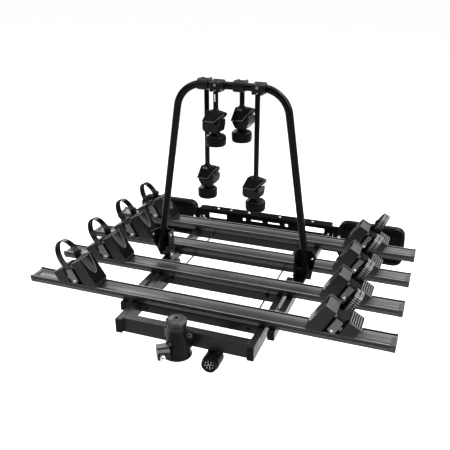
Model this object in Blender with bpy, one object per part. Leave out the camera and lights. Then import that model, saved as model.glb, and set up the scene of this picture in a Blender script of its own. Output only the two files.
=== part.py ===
"""Tow-ball bicycle carrier for four bicycles, built as separate named pieces.

Frame: origin at the centre of the 50 mm tow ball, +X along the wheel rails,
+Y rearwards away from the car, +Z up, all in metres.
"""
import bpy
import bmesh
import math
from mathutils import Matrix, Vector

GAP = 0.0003                 # clearance kept between touching pieces
OBJECT_NAME = "tow_ball_bike_carrier"

# --- wheel rails -----------------------------------------------------------
RAIL_COUNT = 4
RAIL_LENGTH = 1.216
RAIL_WIDTH = 0.066
RAIL_HEIGHT = 0.026
RAIL_PITCH = 0.200
FIRST_RAIL_Y = 0.135         # front edge of the first rail
RAIL_Z = 0.045               # underside of the rails
RAIL_TOP_Z = RAIL_Z + RAIL_HEIGHT

# --- frames ----------------------------------------------------------------
FRAME_TOP_Z = 0.041
TUBE_WALL = 0.002
ARM_INNER_X = 0.2045
ARM_OUTER_X = 0.2255
ARM_FRONT_Y = 0.0365
ARM_REAR_Y = 0.483
ARM_BOTTOM_Z = -0.007
FRONT_TUBE_Y = (0.045, 0.073)
MID_TUBE_Y = (0.142, 0.176)
REAR_TUBE_Y = (0.342, 0.376)
CROSS_BOTTOM_Z = 0.012
SIDE_INNER_X = 0.2375
SIDE_OUTER_X = 0.2590
SIDE_FRONT_Y = 0.131
PANEL_Y = 0.882              # front face of the number plate panel
SIDE_REAR_Y = PANEL_Y - GAP
PLATFORM_TUBE_Y = ((0.545, 0.585), (0.742, 0.782))
RELEASE_X = 0.173            # pull rods of the tilt latch
RELEASE_Z = 0.0345
RELEASE_RADIUS = 0.003
RELEASE_FRONT_Y = 0.255
CAP_THICKNESS = 0.005
CAP_PLUG_DEPTH = 0.012

# --- tilt axis -------------------------------------------------------------
TILT_Y = 0.460
TILT_Z = 0.020
SHAFT_RADIUS = 0.006

# --- coupling --------------------------------------------------------------
BALL_RADIUS = 0.025
COUPLING_BOTTOM_Z = -0.012
COUPLING_TOP_Z = 0.077
CAP_TOP_Z = 0.112
CLAMP_TURN = math.radians(34)  # the clamp block's turn about the bell
CLAMP_HINGE = (-0.014, 0.016)  # in the clamp block's own frame
PLUG_X = 0.094
PLUG_Z = -0.040
PLUG_RADIUS = 0.0195

# --- hoop ------------------------------------------------------------------
HOOP_Y = 0.468
HOOP_TOP_Z = 0.693
HOOP_RADIUS = 0.0125
HOOP_CORNER = 0.092
HOOP_SLOPE = 0.153           # sideways lean of a leg, metres per metre
HOOP_TOP_X = 0.179           # where the leg lines meet the top bar line
HOOP_PIVOT_Z = 0.087
HOOP_LEG_END_Z = 0.0735

# --- frame arms ------------------------------------------------------------
ROD_RADIUS = 0.0085
ROD_OFFSET = 0.028           # rod axis to hoop bar axis
CLAW_DEPTH = 0.048
CLAW_TURN = math.radians(-12)
CLAW_BOTTOM = 0.068          # claw's top to the lower jaw's underside
KNOB_RADIUS = 0.034
KNOB_HUB = 0.010             # hub height above the fluted grip
KNOB_GRIP = 0.031
STUD_RADIUS = 0.005
# name, x, side of the hoop (-1 front, +1 rear), claw's top, upper jaw's height, wide mouth
ARMS = (
    ("arm_1", -0.098, 1, 0.411, 0.045, False),
    ("arm_2", -0.0445, -1, 0.616, 0.036, True),
    ("arm_3", 0.0248, 1, 0.6215, 0.045, False),
    ("arm_4", 0.0945, -1, 0.408, 0.038, True),
)

# --- wheel supports, in the leaning frame of one support --------------------
SUPPORT_LEAN = math.radians(30.3)
SUPPORT_PEAK_X = 0.405
SUPPORT_PEAK_Z = 0.163
SUPPORT_HALF_WIDTH = 0.035
SUPPORT_TOE_X = 0.3545
SUPPORT_OUTER_LENGTH = 0.122
STRAP_WIDTH = 0.024
STRAP_THICKNESS = 0.003
STRAP_ALONG = 0.058          # strap centre, from the peak along the top face

# --- light board -----------------------------------------------------------
PANEL_HALF_TOP = 0.280
PANEL_HALF_WIDE = 0.3035
PANEL_TOP_Z = 0.097
PANEL_STEP_Z = 0.081
PANEL_BOTTOM_Z = -0.030
PANEL_THICKNESS = 0.003
FLANGE_FRONT_Y = 0.842
LAMP_FRONT_Y = 0.867
LAMP_INNER_X = 0.304
LAMP_OUTER_X = 0.561
LAMP_BOTTOM_Z = -0.045
LAMP_TOP_Z = 0.108
LAMP_DEPTH = 0.034
LAMP_CORNER = 0.034
LENS_DEPTH = 0.009

# name: colour, roughness, metallic
FINISHES = {
    "powder_coat": ((0.018, 0.018, 0.019), 0.42, 0.0),
    "rail_aluminium": ((0.13, 0.13, 0.135), 0.38, 0.6),
    "black_plastic": ((0.022, 0.022, 0.023), 0.5, 0.0),
    "grey_plastic": ((0.07, 0.07, 0.072), 0.55, 0.0),
    "strap_plastic": ((0.01, 0.01, 0.01), 0.6, 0.0),
    "bright_steel": ((0.6, 0.6, 0.6), 0.25, 1.0),
    "lamp_lens": ((0.45, 0.02, 0.02), 0.12, 0.0),
}


# --- scene helpers ----------------------------------------------------------
def clear_scene():
    for existing in list(bpy.data.objects):
        bpy.data.objects.remove(existing)


def make_collection(name):
    collection = bpy.data.collections.new(name)
    bpy.context.scene.collection.children.link(collection)
    return collection


def make_material(name):
    colour, roughness, metallic = FINISHES[name]
    material = bpy.data.materials.new(name)
    material.use_nodes = True
    shader = material.node_tree.nodes["Principled BSDF"]
    shader.inputs["Base Color"].default_value = (*colour, 1.0)
    shader.inputs["Roughness"].default_value = roughness
    shader.inputs["Metallic"].default_value = metallic
    return material


clear_scene()
PARTS = make_collection(OBJECT_NAME)
TOOLS = make_collection("cutters")


def add_part(name, mesh, finish, pivot=None):
    """Link a finished piece, with its origin moved onto its joint axis."""
    part = bpy.data.objects.new(name, mesh)
    part.data.materials.clear()
    part.data.materials.append(make_material(finish))
    part.data.materials[0].name = name + "_finish"
    if pivot is not None:
        mesh.transform(Matrix.Translation(-Vector(pivot)))
        part.location = pivot
    mesh.shade_smooth()
    mesh.set_sharp_from_angle(angle=math.radians(35))
    PARTS.objects.link(part)
    return part


def add_tool(mesh, part):
    """Link a shape that a Boolean uses; it is never a piece itself."""
    tool = bpy.data.objects.new(part.name + "_tool", mesh)
    tool.hide_render = True
    tool.display_type = "WIRE"
    TOOLS.objects.link(tool)
    return tool


def boolean(part, mesh, operation):
    modifier = part.modifiers.new(operation.lower(), "BOOLEAN")
    modifier.operation = operation
    modifier.solver = "EXACT"
    modifier.object = add_tool(mesh, part)


def cut(part, mesh):
    boolean(part, mesh, "DIFFERENCE")


def join(part, mesh):
    boolean(part, mesh, "UNION")


# --- mesh helpers -----------------------------------------------------------
def mesh_from(shape):
    mesh = bpy.data.meshes.new("shape")
    shape.to_mesh(mesh)
    shape.free()
    return mesh


def box(low, high):
    shape = bmesh.new()
    bmesh.ops.create_cube(shape, size=1.0)
    size = [b - a for a, b in zip(low, high)]
    middle = [(a + b) / 2 for a, b in zip(low, high)]
    bmesh.ops.transform(
        shape, matrix=Matrix.Translation(middle) @ Matrix.Diagonal((*size, 1.0)), verts=shape.verts)
    return mesh_from(shape)


def cone(start, end, radius_start, radius_end, segments=24, turn=0.0):
    """A round bar from start to end, tapering between the two radii."""
    start, end = Vector(start), Vector(end)
    axis = end - start
    shape = bmesh.new()
    bmesh.ops.create_cone(
        shape, cap_ends=True, segments=segments,
        radius1=radius_start, radius2=radius_end, depth=axis.length)
    place = (Matrix.Translation((start + end) / 2)
             @ axis.to_track_quat("Z", "Y").to_matrix().to_4x4()
             @ Matrix.Rotation(turn, 4, "Z"))
    bmesh.ops.transform(shape, matrix=place, verts=shape.verts)
    return mesh_from(shape)


def cylinder(start, end, radius, segments=24):
    return cone(start, end, radius, radius, segments)


def curve_mesh(curve):
    """Turn a curve into a closed mesh with its caps welded on."""
    guide = bpy.data.objects.new("guide", curve)
    TOOLS.objects.link(guide)
    bpy.context.view_layer.update()
    evaluated = guide.evaluated_get(bpy.context.evaluated_depsgraph_get())
    mesh = bpy.data.meshes.new_from_object(evaluated)
    bpy.data.objects.remove(guide)
    shape = bmesh.new()
    shape.from_mesh(mesh)
    bmesh.ops.remove_doubles(shape, verts=shape.verts, dist=0.00001)
    bmesh.ops.recalc_face_normals(shape, faces=shape.faces)
    shape.to_mesh(mesh)
    shape.free()
    return mesh


def plate(outline, thickness, place, hole=None):
    """A flat outline in x and y, given a thickness about z = 0, then placed."""
    curve = bpy.data.curves.new("outline", "CURVE")
    curve.dimensions = "2D"
    curve.fill_mode = "BOTH"
    curve.extrude = thickness / 2
    for loop in filter(None, (outline, hole)):
        spline = curve.splines.new("POLY")
        spline.points.add(len(loop) - 1)
        for point, (x, y) in zip(spline.points, loop):
            point.co = (x, y, 0.0, 1.0)
        spline.use_cyclic_u = True
    mesh = curve_mesh(curve)
    mesh.transform(place)
    if place.determinant() < 0:
        mesh.flip_normals()
    return mesh


def axes(origin, x_axis, y_axis):
    """Placement whose local x and y run along the two given directions."""
    x_axis, y_axis = Vector(x_axis), Vector(y_axis)
    turn = Matrix((x_axis, y_axis, x_axis.cross(y_axis))).transposed().to_4x4()
    return Matrix.Translation(origin) @ turn


def tube(points, radius, resolution=4, wall=None):
    """A round tube through points; with a wall it is open at both ends."""
    curve = bpy.data.curves.new("tube", "CURVE")
    curve.dimensions = "3D"
    curve.bevel_depth = radius
    curve.bevel_resolution = resolution
    curve.use_fill_caps = wall is None
    spline = curve.splines.new("POLY")
    spline.points.add(len(points) - 1)
    for point, place in zip(spline.points, points):
        point.co = (*place, 1.0)
    return curve_mesh(curve)


def turned(profile, place, segments=24):
    """A solid turned about local z from (radius, height) pairs, top to bottom."""
    shape = bmesh.new()
    corners = [shape.verts.new((radius, 0.0, height)) for radius, height in profile]
    for first, second in zip(corners, corners[1:]):
        shape.edges.new((first, second))
    bmesh.ops.spin(
        shape, geom=shape.verts[:] + shape.edges[:], cent=(0, 0, 0), axis=(0, 0, 1),
        angle=math.tau, steps=segments, use_merge=True)
    bmesh.ops.remove_doubles(shape, verts=shape.verts, dist=0.00001)
    bmesh.ops.recalc_face_normals(shape, faces=shape.faces)
    bmesh.ops.transform(shape, matrix=place, verts=shape.verts)
    return mesh_from(shape)


def arc(centre, radius, start, end, steps):
    """Points on a circle, with angles in degrees."""
    angles = [math.radians(start + (end - start) * i / steps) for i in range(steps + 1)]
    return [(centre[0] + radius * math.cos(a), centre[1] + radius * math.sin(a)) for a in angles]


def rounded_rectangle(low, high, radius, steps=5):
    (x0, y0), (x1, y1) = low, high
    corners = (
        ((x1 - radius, y0 + radius), -90), ((x1 - radius, y1 - radius), 0),
        ((x0 + radius, y1 - radius), 90), ((x0 + radius, y0 + radius), 180))
    points = []
    for centre, start in corners:
        points += arc(centre, radius, start, start + 90, steps)
    return points


# --- fixed frame ------------------------------------------------------------
def build_base_frame():
    """Two side arms welded to three cross tubes; the arms are hollow and open in front."""
    frame = add_part(
        "base_frame",
        box((ARM_INNER_X, ARM_FRONT_Y, ARM_BOTTOM_Z), (ARM_OUTER_X, ARM_REAR_Y, FRAME_TOP_Z)),
        "powder_coat")
    join(frame, box((-ARM_OUTER_X, ARM_FRONT_Y, ARM_BOTTOM_Z), (-ARM_INNER_X, ARM_REAR_Y, FRAME_TOP_Z)))
    reach = ARM_INNER_X + 0.001
    join(frame, box((-reach, FRONT_TUBE_Y[0], ARM_BOTTOM_Z - 0.002), (reach, FRONT_TUBE_Y[1], FRAME_TOP_Z)))
    for span in (MID_TUBE_Y, REAR_TUBE_Y):
        join(frame, box((-reach, span[0], CROSS_BOTTOM_Z), (reach, span[1], FRAME_TOP_Z)))
    for side in (-1, 1):
        x0, x1 = sorted((side * (ARM_INNER_X + TUBE_WALL), side * (ARM_OUTER_X - TUBE_WALL)))
        cut(frame, box((x0, ARM_FRONT_Y - 0.01, ARM_BOTTOM_Z + TUBE_WALL),
                       (x1, ARM_REAR_Y - TUBE_WALL, FRAME_TOP_Z - TUBE_WALL)))
        cut(frame, cylinder((side * RELEASE_X, MID_TUBE_Y[0] - 0.02, 0.027),
                            (side * RELEASE_X, MID_TUBE_Y[1] + 0.02, 0.027), 0.005, 16))
        cut(frame, box((side * RELEASE_X - 0.006, REAR_TUBE_Y[0] - 0.02, 0.030),
                       (side * RELEASE_X + 0.006, REAR_TUBE_Y[1] + 0.02, FRAME_TOP_Z + 0.02)))
    reach = ARM_INNER_X + 0.004
    bottoms = (ARM_BOTTOM_Z - 0.002, CROSS_BOTTOM_Z, CROSS_BOTTOM_Z)
    for span, bottom in zip((FRONT_TUBE_Y, MID_TUBE_Y, REAR_TUBE_Y), bottoms):
        wall = 0.0025
        ceiling = FRAME_TOP_Z - (0.013 if span == REAR_TUBE_Y else wall)
        cut(frame, box((-reach, span[0] + wall, bottom + wall), (reach, span[1] - wall, ceiling)))
    cut(frame, cylinder((-0.24, TILT_Y, TILT_Z), (0.24, TILT_Y, TILT_Z), SHAFT_RADIUS + GAP, 20))


def build_tube_caps():
    """Plastic caps in the open front ends of the arms and of the platform's side tubes."""
    rows = (
        ("base_cap", ARM_INNER_X, ARM_OUTER_X, ARM_FRONT_Y, ARM_BOTTOM_Z),
        ("platform_cap", SIDE_INNER_X, SIDE_OUTER_X, SIDE_FRONT_Y, CROSS_BOTTOM_Z))
    inset = TUBE_WALL + GAP
    for name, inner, outer, front, bottom in rows:
        for label, side in (("left", -1), ("right", 1)):
            x0, x1 = sorted((side * inner, side * outer))
            cap = add_part(
                f"{name}_{label}",
                box((x0, front - CAP_THICKNESS, bottom), (x1, front - GAP, FRAME_TOP_Z)),
                "black_plastic")
            join(cap, box((x0 + inset, front - 0.001, bottom + inset),
                          (x1 - inset, front + CAP_PLUG_DEPTH, FRAME_TOP_Z - inset)))


def build_tilt_shaft():
    """Steel cross shaft that the platform tilts on, with spacers and end heads."""
    half = SIDE_OUTER_X + GAP
    shaft = add_part(
        "tilt_shaft",
        cylinder((-half - 0.004, TILT_Y, TILT_Z), (half + 0.004, TILT_Y, TILT_Z), SHAFT_RADIUS, 20),
        "bright_steel", pivot=(0.0, TILT_Y, TILT_Z))
    for side in (-1, 1):
        for start, end, radius in (
                (ARM_OUTER_X + GAP, SIDE_INNER_X - GAP, 0.010), (half, half + 0.005, 0.0095)):
            tool = cylinder((side * start, TILT_Y, TILT_Z), (side * end, TILT_Y, TILT_Z), radius, 20)
            join(shaft, tool)


# --- coupling ---------------------------------------------------------------
def build_coupling_body():
    """Cast bell over the tow ball, its neck to the front tube, a side rib and a latch eye."""
    body = add_part(
        "coupling_body",
        cone((0, 0, COUPLING_BOTTOM_Z), (0, 0, COUPLING_TOP_Z), 0.042, 0.0265, 32),
        "powder_coat")
    join(body, box((-0.030, 0.010, -0.006), (0.030, FRONT_TUBE_Y[0] - GAP, 0.038)))
    join(body, box((-0.036, -0.008, 0.030), (-0.020, 0.008, COUPLING_TOP_Z - 0.001)))
    join(body, box((0.020, -0.005, 0.052), (0.050, 0.005, COUPLING_TOP_Z - 0.001)))
    cut(body, cylinder((0.042, -0.02, 0.064), (0.042, 0.02, 0.064), 0.0045, 12))
    cut(body, cylinder((0, 0, COUPLING_BOTTOM_Z - 0.02), (0, 0, BALL_RADIUS + 0.003), BALL_RADIUS + 0.0005, 32))


def build_coupling_knob():
    """Lobed clamping cap that screws down on the ball."""
    lobes = 8
    outline = []
    for i in range(lobes * 6):
        angle = math.tau * i / (lobes * 6)
        radius = 0.0315 + 0.0015 * math.cos(lobes * angle)
        outline.append((radius * math.cos(angle), radius * math.sin(angle)))
    rim_z = CAP_TOP_Z - 0.0075
    knob = add_part(
        "coupling_knob",
        plate(outline, 0.009, Matrix.Translation((0, 0, rim_z))),
        "grey_plastic", pivot=(0, 0, COUPLING_TOP_Z))
    skirt = cone((0, 0, COUPLING_TOP_Z + GAP), (0, 0, rim_z), 0.0285, 0.030, 12, turn=math.radians(15))
    join(knob, skirt)
    join(knob, cone((0, 0, rim_z), (0, 0, CAP_TOP_Z), 0.029, 0.022, 24))
    cut(knob, cylinder((0, 0, CAP_TOP_Z - 0.010), (0, 0, CAP_TOP_Z + 0.01), 0.0062, 16))


def build_coupling_clamp():
    """Clamp block at the bell's front left, its set-back top lip, swinging plate and ball-headed pin."""
    place = Matrix.Translation((-0.0152, -0.0550, 0)) @ Matrix.Rotation(CLAMP_TURN, 4, "Z")
    block = box((-0.0210, 0.0, -0.0025), (0.0165, 0.0340, 0.0330))
    slot = box((-0.03, -0.01, 0.0222), (0.03, 0.0240, 0.0290))
    step = box((-0.03, -0.01, 0.0250), (0.03, 0.0120, 0.0400))
    hinge = cylinder((*CLAMP_HINGE, 0.0200), (*CLAMP_HINGE, 0.0310), 0.003, 12)
    for mesh in (block, slot, step, hinge):
        mesh.transform(place)
    bracket = add_part("coupling_bracket", block, "powder_coat")
    cut(bracket, cone((0, 0, -0.0125), (0, 0, 0.0775), 0.0426, 0.0270, 32))
    cut(bracket, slot)
    cut(bracket, step)
    join(bracket, hinge)
    outline = [(-0.0205, -0.001), (0.0160, -0.001), (0.0160, 0.0120), (0.0090, 0.0195), (-0.0205, 0.0195)]
    pivot = place @ Vector((*CLAMP_HINGE, 0.0253))
    lever = add_part(
        "coupling_lever", plate(outline, 0.0055, place @ Matrix.Translation((0, 0, 0.0253))),
        "black_plastic", pivot=pivot)
    bore = cylinder((*CLAMP_HINGE, 0.0), (*CLAMP_HINGE, 0.06), 0.003 + GAP, 12)
    bore.transform(place)
    cut(lever, bore)
    shank = cylinder((-0.0065, -0.0085, 0.0135), (-0.0065, -GAP, 0.0135), 0.006, 20)
    shank.transform(place)
    pin = add_part("coupling_pin", shank, "bright_steel")
    pin_head = bmesh.new()
    bmesh.ops.create_uvsphere(pin_head, u_segments=14, v_segments=8, radius=0.0083)
    bmesh.ops.translate(pin_head, vec=place @ Vector((-0.0065, -0.0110, 0.0135)), verts=pin_head.verts)
    join(pin, mesh_from(pin_head))


def build_plug():
    """Parked trailer plug in its ring holder under the front tube."""
    holder = add_part(
        "plug_holder",
        cylinder((PLUG_X, 0.024, PLUG_Z), (PLUG_X, 0.070, PLUG_Z), 0.027, 24),
        "black_plastic")
    join(holder, box((PLUG_X - 0.016, 0.046, PLUG_Z + 0.015),
                     (PLUG_X + 0.016, 0.072, ARM_BOTTOM_Z - 0.002 - GAP)))
    cut(holder, cylinder((PLUG_X, 0.0, PLUG_Z), (PLUG_X, 0.066, PLUG_Z), PLUG_RADIUS + 0.0006, 24))
    plug = add_part(
        "plug",
        cylinder((PLUG_X, 0.012, PLUG_Z), (PLUG_X, 0.064, PLUG_Z), PLUG_RADIUS, 24),
        "black_plastic")
    join(plug, cylinder((PLUG_X, 0.010, PLUG_Z), (PLUG_X, 0.0235, PLUG_Z), 0.0225, 24))
    cut(plug, cylinder((PLUG_X, -0.01, PLUG_Z), (PLUG_X, 0.018, PLUG_Z), 0.0170, 24))


# --- tilting platform -------------------------------------------------------
def build_platform_frame():
    """Two hollow side tubes with two cross tubes, open at both ends of each side tube."""
    frame = add_part(
        "platform_frame",
        box((SIDE_INNER_X, SIDE_FRONT_Y, CROSS_BOTTOM_Z), (SIDE_OUTER_X, SIDE_REAR_Y, FRAME_TOP_Z)),
        "powder_coat", pivot=(0.0, TILT_Y, TILT_Z))
    join(frame, box((-SIDE_OUTER_X, SIDE_FRONT_Y, CROSS_BOTTOM_Z),
                    (-SIDE_INNER_X, SIDE_REAR_Y, FRAME_TOP_Z)))
    reach = SIDE_INNER_X + 0.001
    for (front, rear), bottom in zip(PLATFORM_TUBE_Y, (0.026, CROSS_BOTTOM_Z)):
        join(frame, box((-reach, front, bottom), (reach, rear, FRAME_TOP_Z)))
    reach = SIDE_INNER_X + 0.004
    front, rear = PLATFORM_TUBE_Y[1]
    cut(frame, box((-reach, front + 0.0025, CROSS_BOTTOM_Z + 0.0025), (reach, rear - 0.0025, 0.0290)))
    for side in (-1, 1):
        x0, x1 = sorted((side * (SIDE_INNER_X + TUBE_WALL), side * (SIDE_OUTER_X - TUBE_WALL)))
        cut(frame, box((x0, SIDE_FRONT_Y - 0.01, CROSS_BOTTOM_Z + TUBE_WALL),
                       (x1, SIDE_REAR_Y + 0.01, FRAME_TOP_Z - TUBE_WALL)))
        cut(frame, cylinder((side * RELEASE_X, PLATFORM_TUBE_Y[0][0] - 0.02, RELEASE_Z),
                            (side * RELEASE_X, PLATFORM_TUBE_Y[1][1] + 0.02, RELEASE_Z),
                            RELEASE_RADIUS + GAP, 12))
    cut(frame, cylinder((-0.28, TILT_Y, TILT_Z), (0.28, TILT_Y, TILT_Z), SHAFT_RADIUS + GAP, 20))


def rail_outline():
    """Cross-section of a rail: a shallow gutter between two lips on a narrower foot."""
    width, height = RAIL_WIDTH, RAIL_HEIGHT
    half = width / 2
    right = [
        (half - 0.005, 0.0), (half - 0.0022, 0.011), (half - 0.0005, 0.0135),
        (half - 0.0022, 0.0150), (half, 0.0165), (half, 0.0190), (half - 0.0018, 0.0202),
        (half, 0.0214), (half, height), (half - 0.0025, height), (half - 0.0030, height - 0.0075),
        (half - 0.0065, height - 0.0075), (half - 0.0070, height - 0.0030)]
    floor_half = half - 0.010
    floor = []
    for i in range(9):
        across = 1 - 2 * i / 8
        floor.append((across * floor_half, height - 0.0080 + 0.0038 * across * across))
    left = [(-x, z) for x, z in reversed(right)]
    return right + floor + left


def build_rails():
    outline = rail_outline()
    half = RAIL_WIDTH / 2
    right = [(half - 0.0075, 0.0020), (half - 0.0047, 0.0115), (half - 0.0105, 0.0165)]
    hollow = right + [(0.0, 0.0155)] + [(-x, z) for x, z in reversed(right)]
    for i in range(RAIL_COUNT):
        middle_y = FIRST_RAIL_Y + RAIL_PITCH * i + RAIL_WIDTH / 2
        place = axes((0.0, middle_y, RAIL_Z), (0, 1, 0), (0, 0, 1))
        add_part(f"wheel_rail_{i + 1}", plate(outline, RAIL_LENGTH, place, hollow), "rail_aluminium")


# --- wheel supports and straps ----------------------------------------------
def support_frame(side, middle_y):
    """Leaning frame: local x runs out along the top face, y across the rail, z up the wheel face."""
    cos, sin = math.cos(SUPPORT_LEAN), math.sin(SUPPORT_LEAN)
    along = Vector((side * cos, 0, -sin))
    up = Vector((side * sin, 0, cos))
    turn = Matrix((along, Vector((0, 1, 0)), up)).transposed().to_4x4()
    return Matrix.Translation((side * SUPPORT_PEAK_X, middle_y, SUPPORT_PEAK_Z)) @ turn


def leaning(mesh, frame):
    mesh.transform(frame)
    if frame.determinant() < 0:
        mesh.flip_normals()
    return mesh


def build_support(name, side, middle_y):
    """Plastic wedge with a tyre scoop, side recesses, strap pocket and ribbed outer end."""
    bottom = RAIL_TOP_Z + GAP
    cos, sin = math.cos(SUPPORT_LEAN), math.sin(SUPPORT_LEAN)
    outer = Vector((SUPPORT_PEAK_X + SUPPORT_OUTER_LENGTH * cos, SUPPORT_PEAK_Z - SUPPORT_OUTER_LENGTH * sin))
    foot_run = (outer.y - bottom) * sin / cos
    outline = [
        (SUPPORT_TOE_X - 0.004, bottom), (outer.x - foot_run, bottom), (outer.x, outer.y),
        (SUPPORT_PEAK_X, SUPPORT_PEAK_Z), (SUPPORT_TOE_X - 0.004, bottom + 0.010)]
    place = axes((0, middle_y, 0), (1, 0, 0), (0, 0, 1))
    mesh = plate(outline, 2 * SUPPORT_HALF_WIDTH, place)
    if side < 0:
        mesh.transform(Matrix.Diagonal((-1, 1, 1, 1)))
        mesh.flip_normals()
    support = add_part(name, mesh, "black_plastic")
    frame = support_frame(side, middle_y)
    edge = SUPPORT_HALF_WIDTH
    pocket = [(0.024, -0.022), (0.118, -0.0165), (0.118, -0.070), (0.009, -0.125), (0.009, -0.062)]
    upright = axes((0, 0, 0), (1, 0, 0), (0, 0, 1))
    cut(support, leaning(plate(pocket, 0.044, upright), frame))
    for across in (-1, 1):
        y0, y1 = sorted((across * 0.026, across * (edge + 0.01)))
        cut(support, leaning(box((0.0380, y0, -0.080), (0.0820, y1, 0.02)), frame))
    cut(support, leaning(box((0.0035, -edge + 0.004, -0.003), (0.0345, edge - 0.004, 0.02)), frame))
    cut(support, leaning(box((0.0365, -0.0280, -0.016), (0.0840, 0.0280, 0.02)), frame))
    scoop = cylinder((0.016, 0.0, 0.060), (-0.034, 0.0, -0.075), 0.0245, 20)
    cut(support, leaning(scoop, frame))
    for i in range(5):
        start = 0.0870 + 0.0068 * i
        cut(support, leaning(box((start, -0.029, -0.010), (start + 0.0042, 0.029, 0.02)), frame))
    return support


def strap_path():
    """Centre line of the strap across the rail: up the front, over in a loop, down the rear."""
    loop_middle, loop_across, loop_up = 0.024, 0.042, 0.055
    front = -0.0335
    points = [(front, -0.062), (front, -0.030)]
    for i in range(19):
        angle = math.radians(225 - 270 * i / 18)
        points.append((loop_across * math.cos(angle), loop_middle + loop_up * math.sin(angle)))
    return points + [(-front, -0.030), (-front, -0.045)]


def build_strap(name, side, middle_y):
    """Toothed strap loop with a tongue on the front and a ratchet buckle on the rear."""
    path = [Vector(p) for p in strap_path()]
    outer_edge, inner_edge = [], []
    for i, point in enumerate(path):
        before = path[max(i - 1, 0)]
        after = path[min(i + 1, len(path) - 1)]
        direction = (after - before).normalized()
        normal = Vector((direction.y, -direction.x)) * (STRAP_THICKNESS / 2)
        outer_edge.append(tuple(point + normal))
        inner_edge.append(tuple(point - normal))
    outline = outer_edge + inner_edge[::-1]
    frame = support_frame(side, middle_y)
    place = axes((STRAP_ALONG, 0, 0), (0, 1, 0), (0, 0, 1))
    strap = add_part(name, leaning(plate(outline, STRAP_WIDTH, place), frame), "strap_plastic")
    buckle = box((0.0445, 0.0295, -0.052), (0.0715, 0.0440, -0.006))
    join(strap, leaning(buckle, frame))
    if side < 0:
        join(strap, leaning(box((0.022, 0.0360, 0.004), (0.084, 0.0500, 0.024)), frame))
        join(strap, leaning(box((0.048, 0.0350, -0.010), (0.068, 0.0430, 0.010)), frame))


def build_supports_and_straps():
    for i in range(RAIL_COUNT):
        middle_y = FIRST_RAIL_Y + RAIL_PITCH * i + RAIL_WIDTH / 2
        for label, side in (("left", -1), ("right", 1)):
            build_support(f"wheel_support_{i + 1}_{label}", side, middle_y)
            build_strap(f"wheel_strap_{i + 1}_{label}", side, middle_y)


# --- hoop -------------------------------------------------------------------
def leg_x(height):
    """Sideways place of a leg's centre line at a height."""
    return HOOP_TOP_X + HOOP_SLOPE * (HOOP_TOP_Z - height)


def hoop_path():
    """Half of the hoop from a leg's end, round the corner, to the middle of the top bar."""
    lean = math.atan(HOOP_SLOPE)
    turn = math.pi / 2 - lean
    tangent = HOOP_CORNER * math.tan(turn / 2)
    centre = (HOOP_TOP_X - tangent, HOOP_TOP_Z - HOOP_CORNER)
    points = [(leg_x(HOOP_LEG_END_Z), HOOP_LEG_END_Z)]
    steps = 8
    for i in range(steps + 1):
        angle = lean + turn * i / steps
        points.append((centre[0] + HOOP_CORNER * math.cos(angle), centre[1] + HOOP_CORNER * math.sin(angle)))
    return points


def build_hoop():
    """Bent steel tube; each leg is bored for its hinge bolt."""
    half = hoop_path()
    points = [(x, HOOP_Y, z) for x, z in half] + [(-x, HOOP_Y, z) for x, z in reversed(half)]
    hoop = add_part("hoop", tube(points, HOOP_RADIUS, 4), "powder_coat",
                    pivot=(0.0, HOOP_Y, HOOP_PIVOT_Z))
    end_x, end_z = leg_x(HOOP_LEG_END_Z - 0.02), HOOP_LEG_END_Z - 0.02
    hollow = [(end_x, HOOP_Y, end_z)] + points[1:-1] + [(-end_x, HOOP_Y, end_z)]
    cut(hoop, tube(hollow, HOOP_RADIUS - 0.002, 2))
    cut(hoop, cylinder((-0.32, HOOP_Y, HOOP_PIVOT_Z), (0.32, HOOP_Y, HOOP_PIVOT_Z), 0.0043, 16))


def build_hoop_bracket(label, side):
    """Folded steel holder round a hoop leg, open to the front, with the hinge bolt."""
    inner, outer = 0.2315, 0.3065
    front, back = HOOP_Y - 0.018, HOOP_Y + 0.022
    wall = 0.003
    outline = [
        (inner, front), (inner + wall, front), (inner + wall, back - wall), (0.283, back - wall),
        (outer - wall, front - 0.001), (outer, front - 0.001), (0.285, back), (inner, back)]
    bottom, top = FRAME_TOP_Z + GAP, 0.152
    place = Matrix.Translation((0, 0, (bottom + top) / 2))
    mesh = plate(outline, top - bottom, place)
    if side < 0:
        mesh.transform(Matrix.Diagonal((-1, 1, 1, 1)))
        mesh.flip_normals()
    bracket = add_part(f"hoop_bracket_{label}", mesh, "powder_coat",
                       pivot=(side * leg_x(HOOP_PIVOT_Z), HOOP_Y, HOOP_PIVOT_Z))
    slant = Vector((0.023, 0.115)).normalized()
    edge = plate([(0.2835, bottom - 0.01), (0.33, bottom - 0.01), (0.36, top + 0.02),
                  (0.2835 + slant.x / slant.y * (top + 0.03 - bottom), top + 0.02)],
                 0.2, axes((0, HOOP_Y, 0), (1, 0, 0), (0, 0, 1)))
    foot = box((inner, front + 0.002, bottom), (0.268, back - 0.001, bottom + wall))
    bolt = cylinder((inner - 0.005, HOOP_Y, HOOP_PIVOT_Z), (0.2940, HOOP_Y, HOOP_PIVOT_Z), 0.004, 16)
    if side < 0:
        for mesh in (edge, foot, bolt):
            mesh.transform(Matrix.Diagonal((-1, 1, 1, 1)))
            mesh.flip_normals()
    cut(bracket, edge)
    join(bracket, foot)
    join(bracket, bolt)


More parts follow.
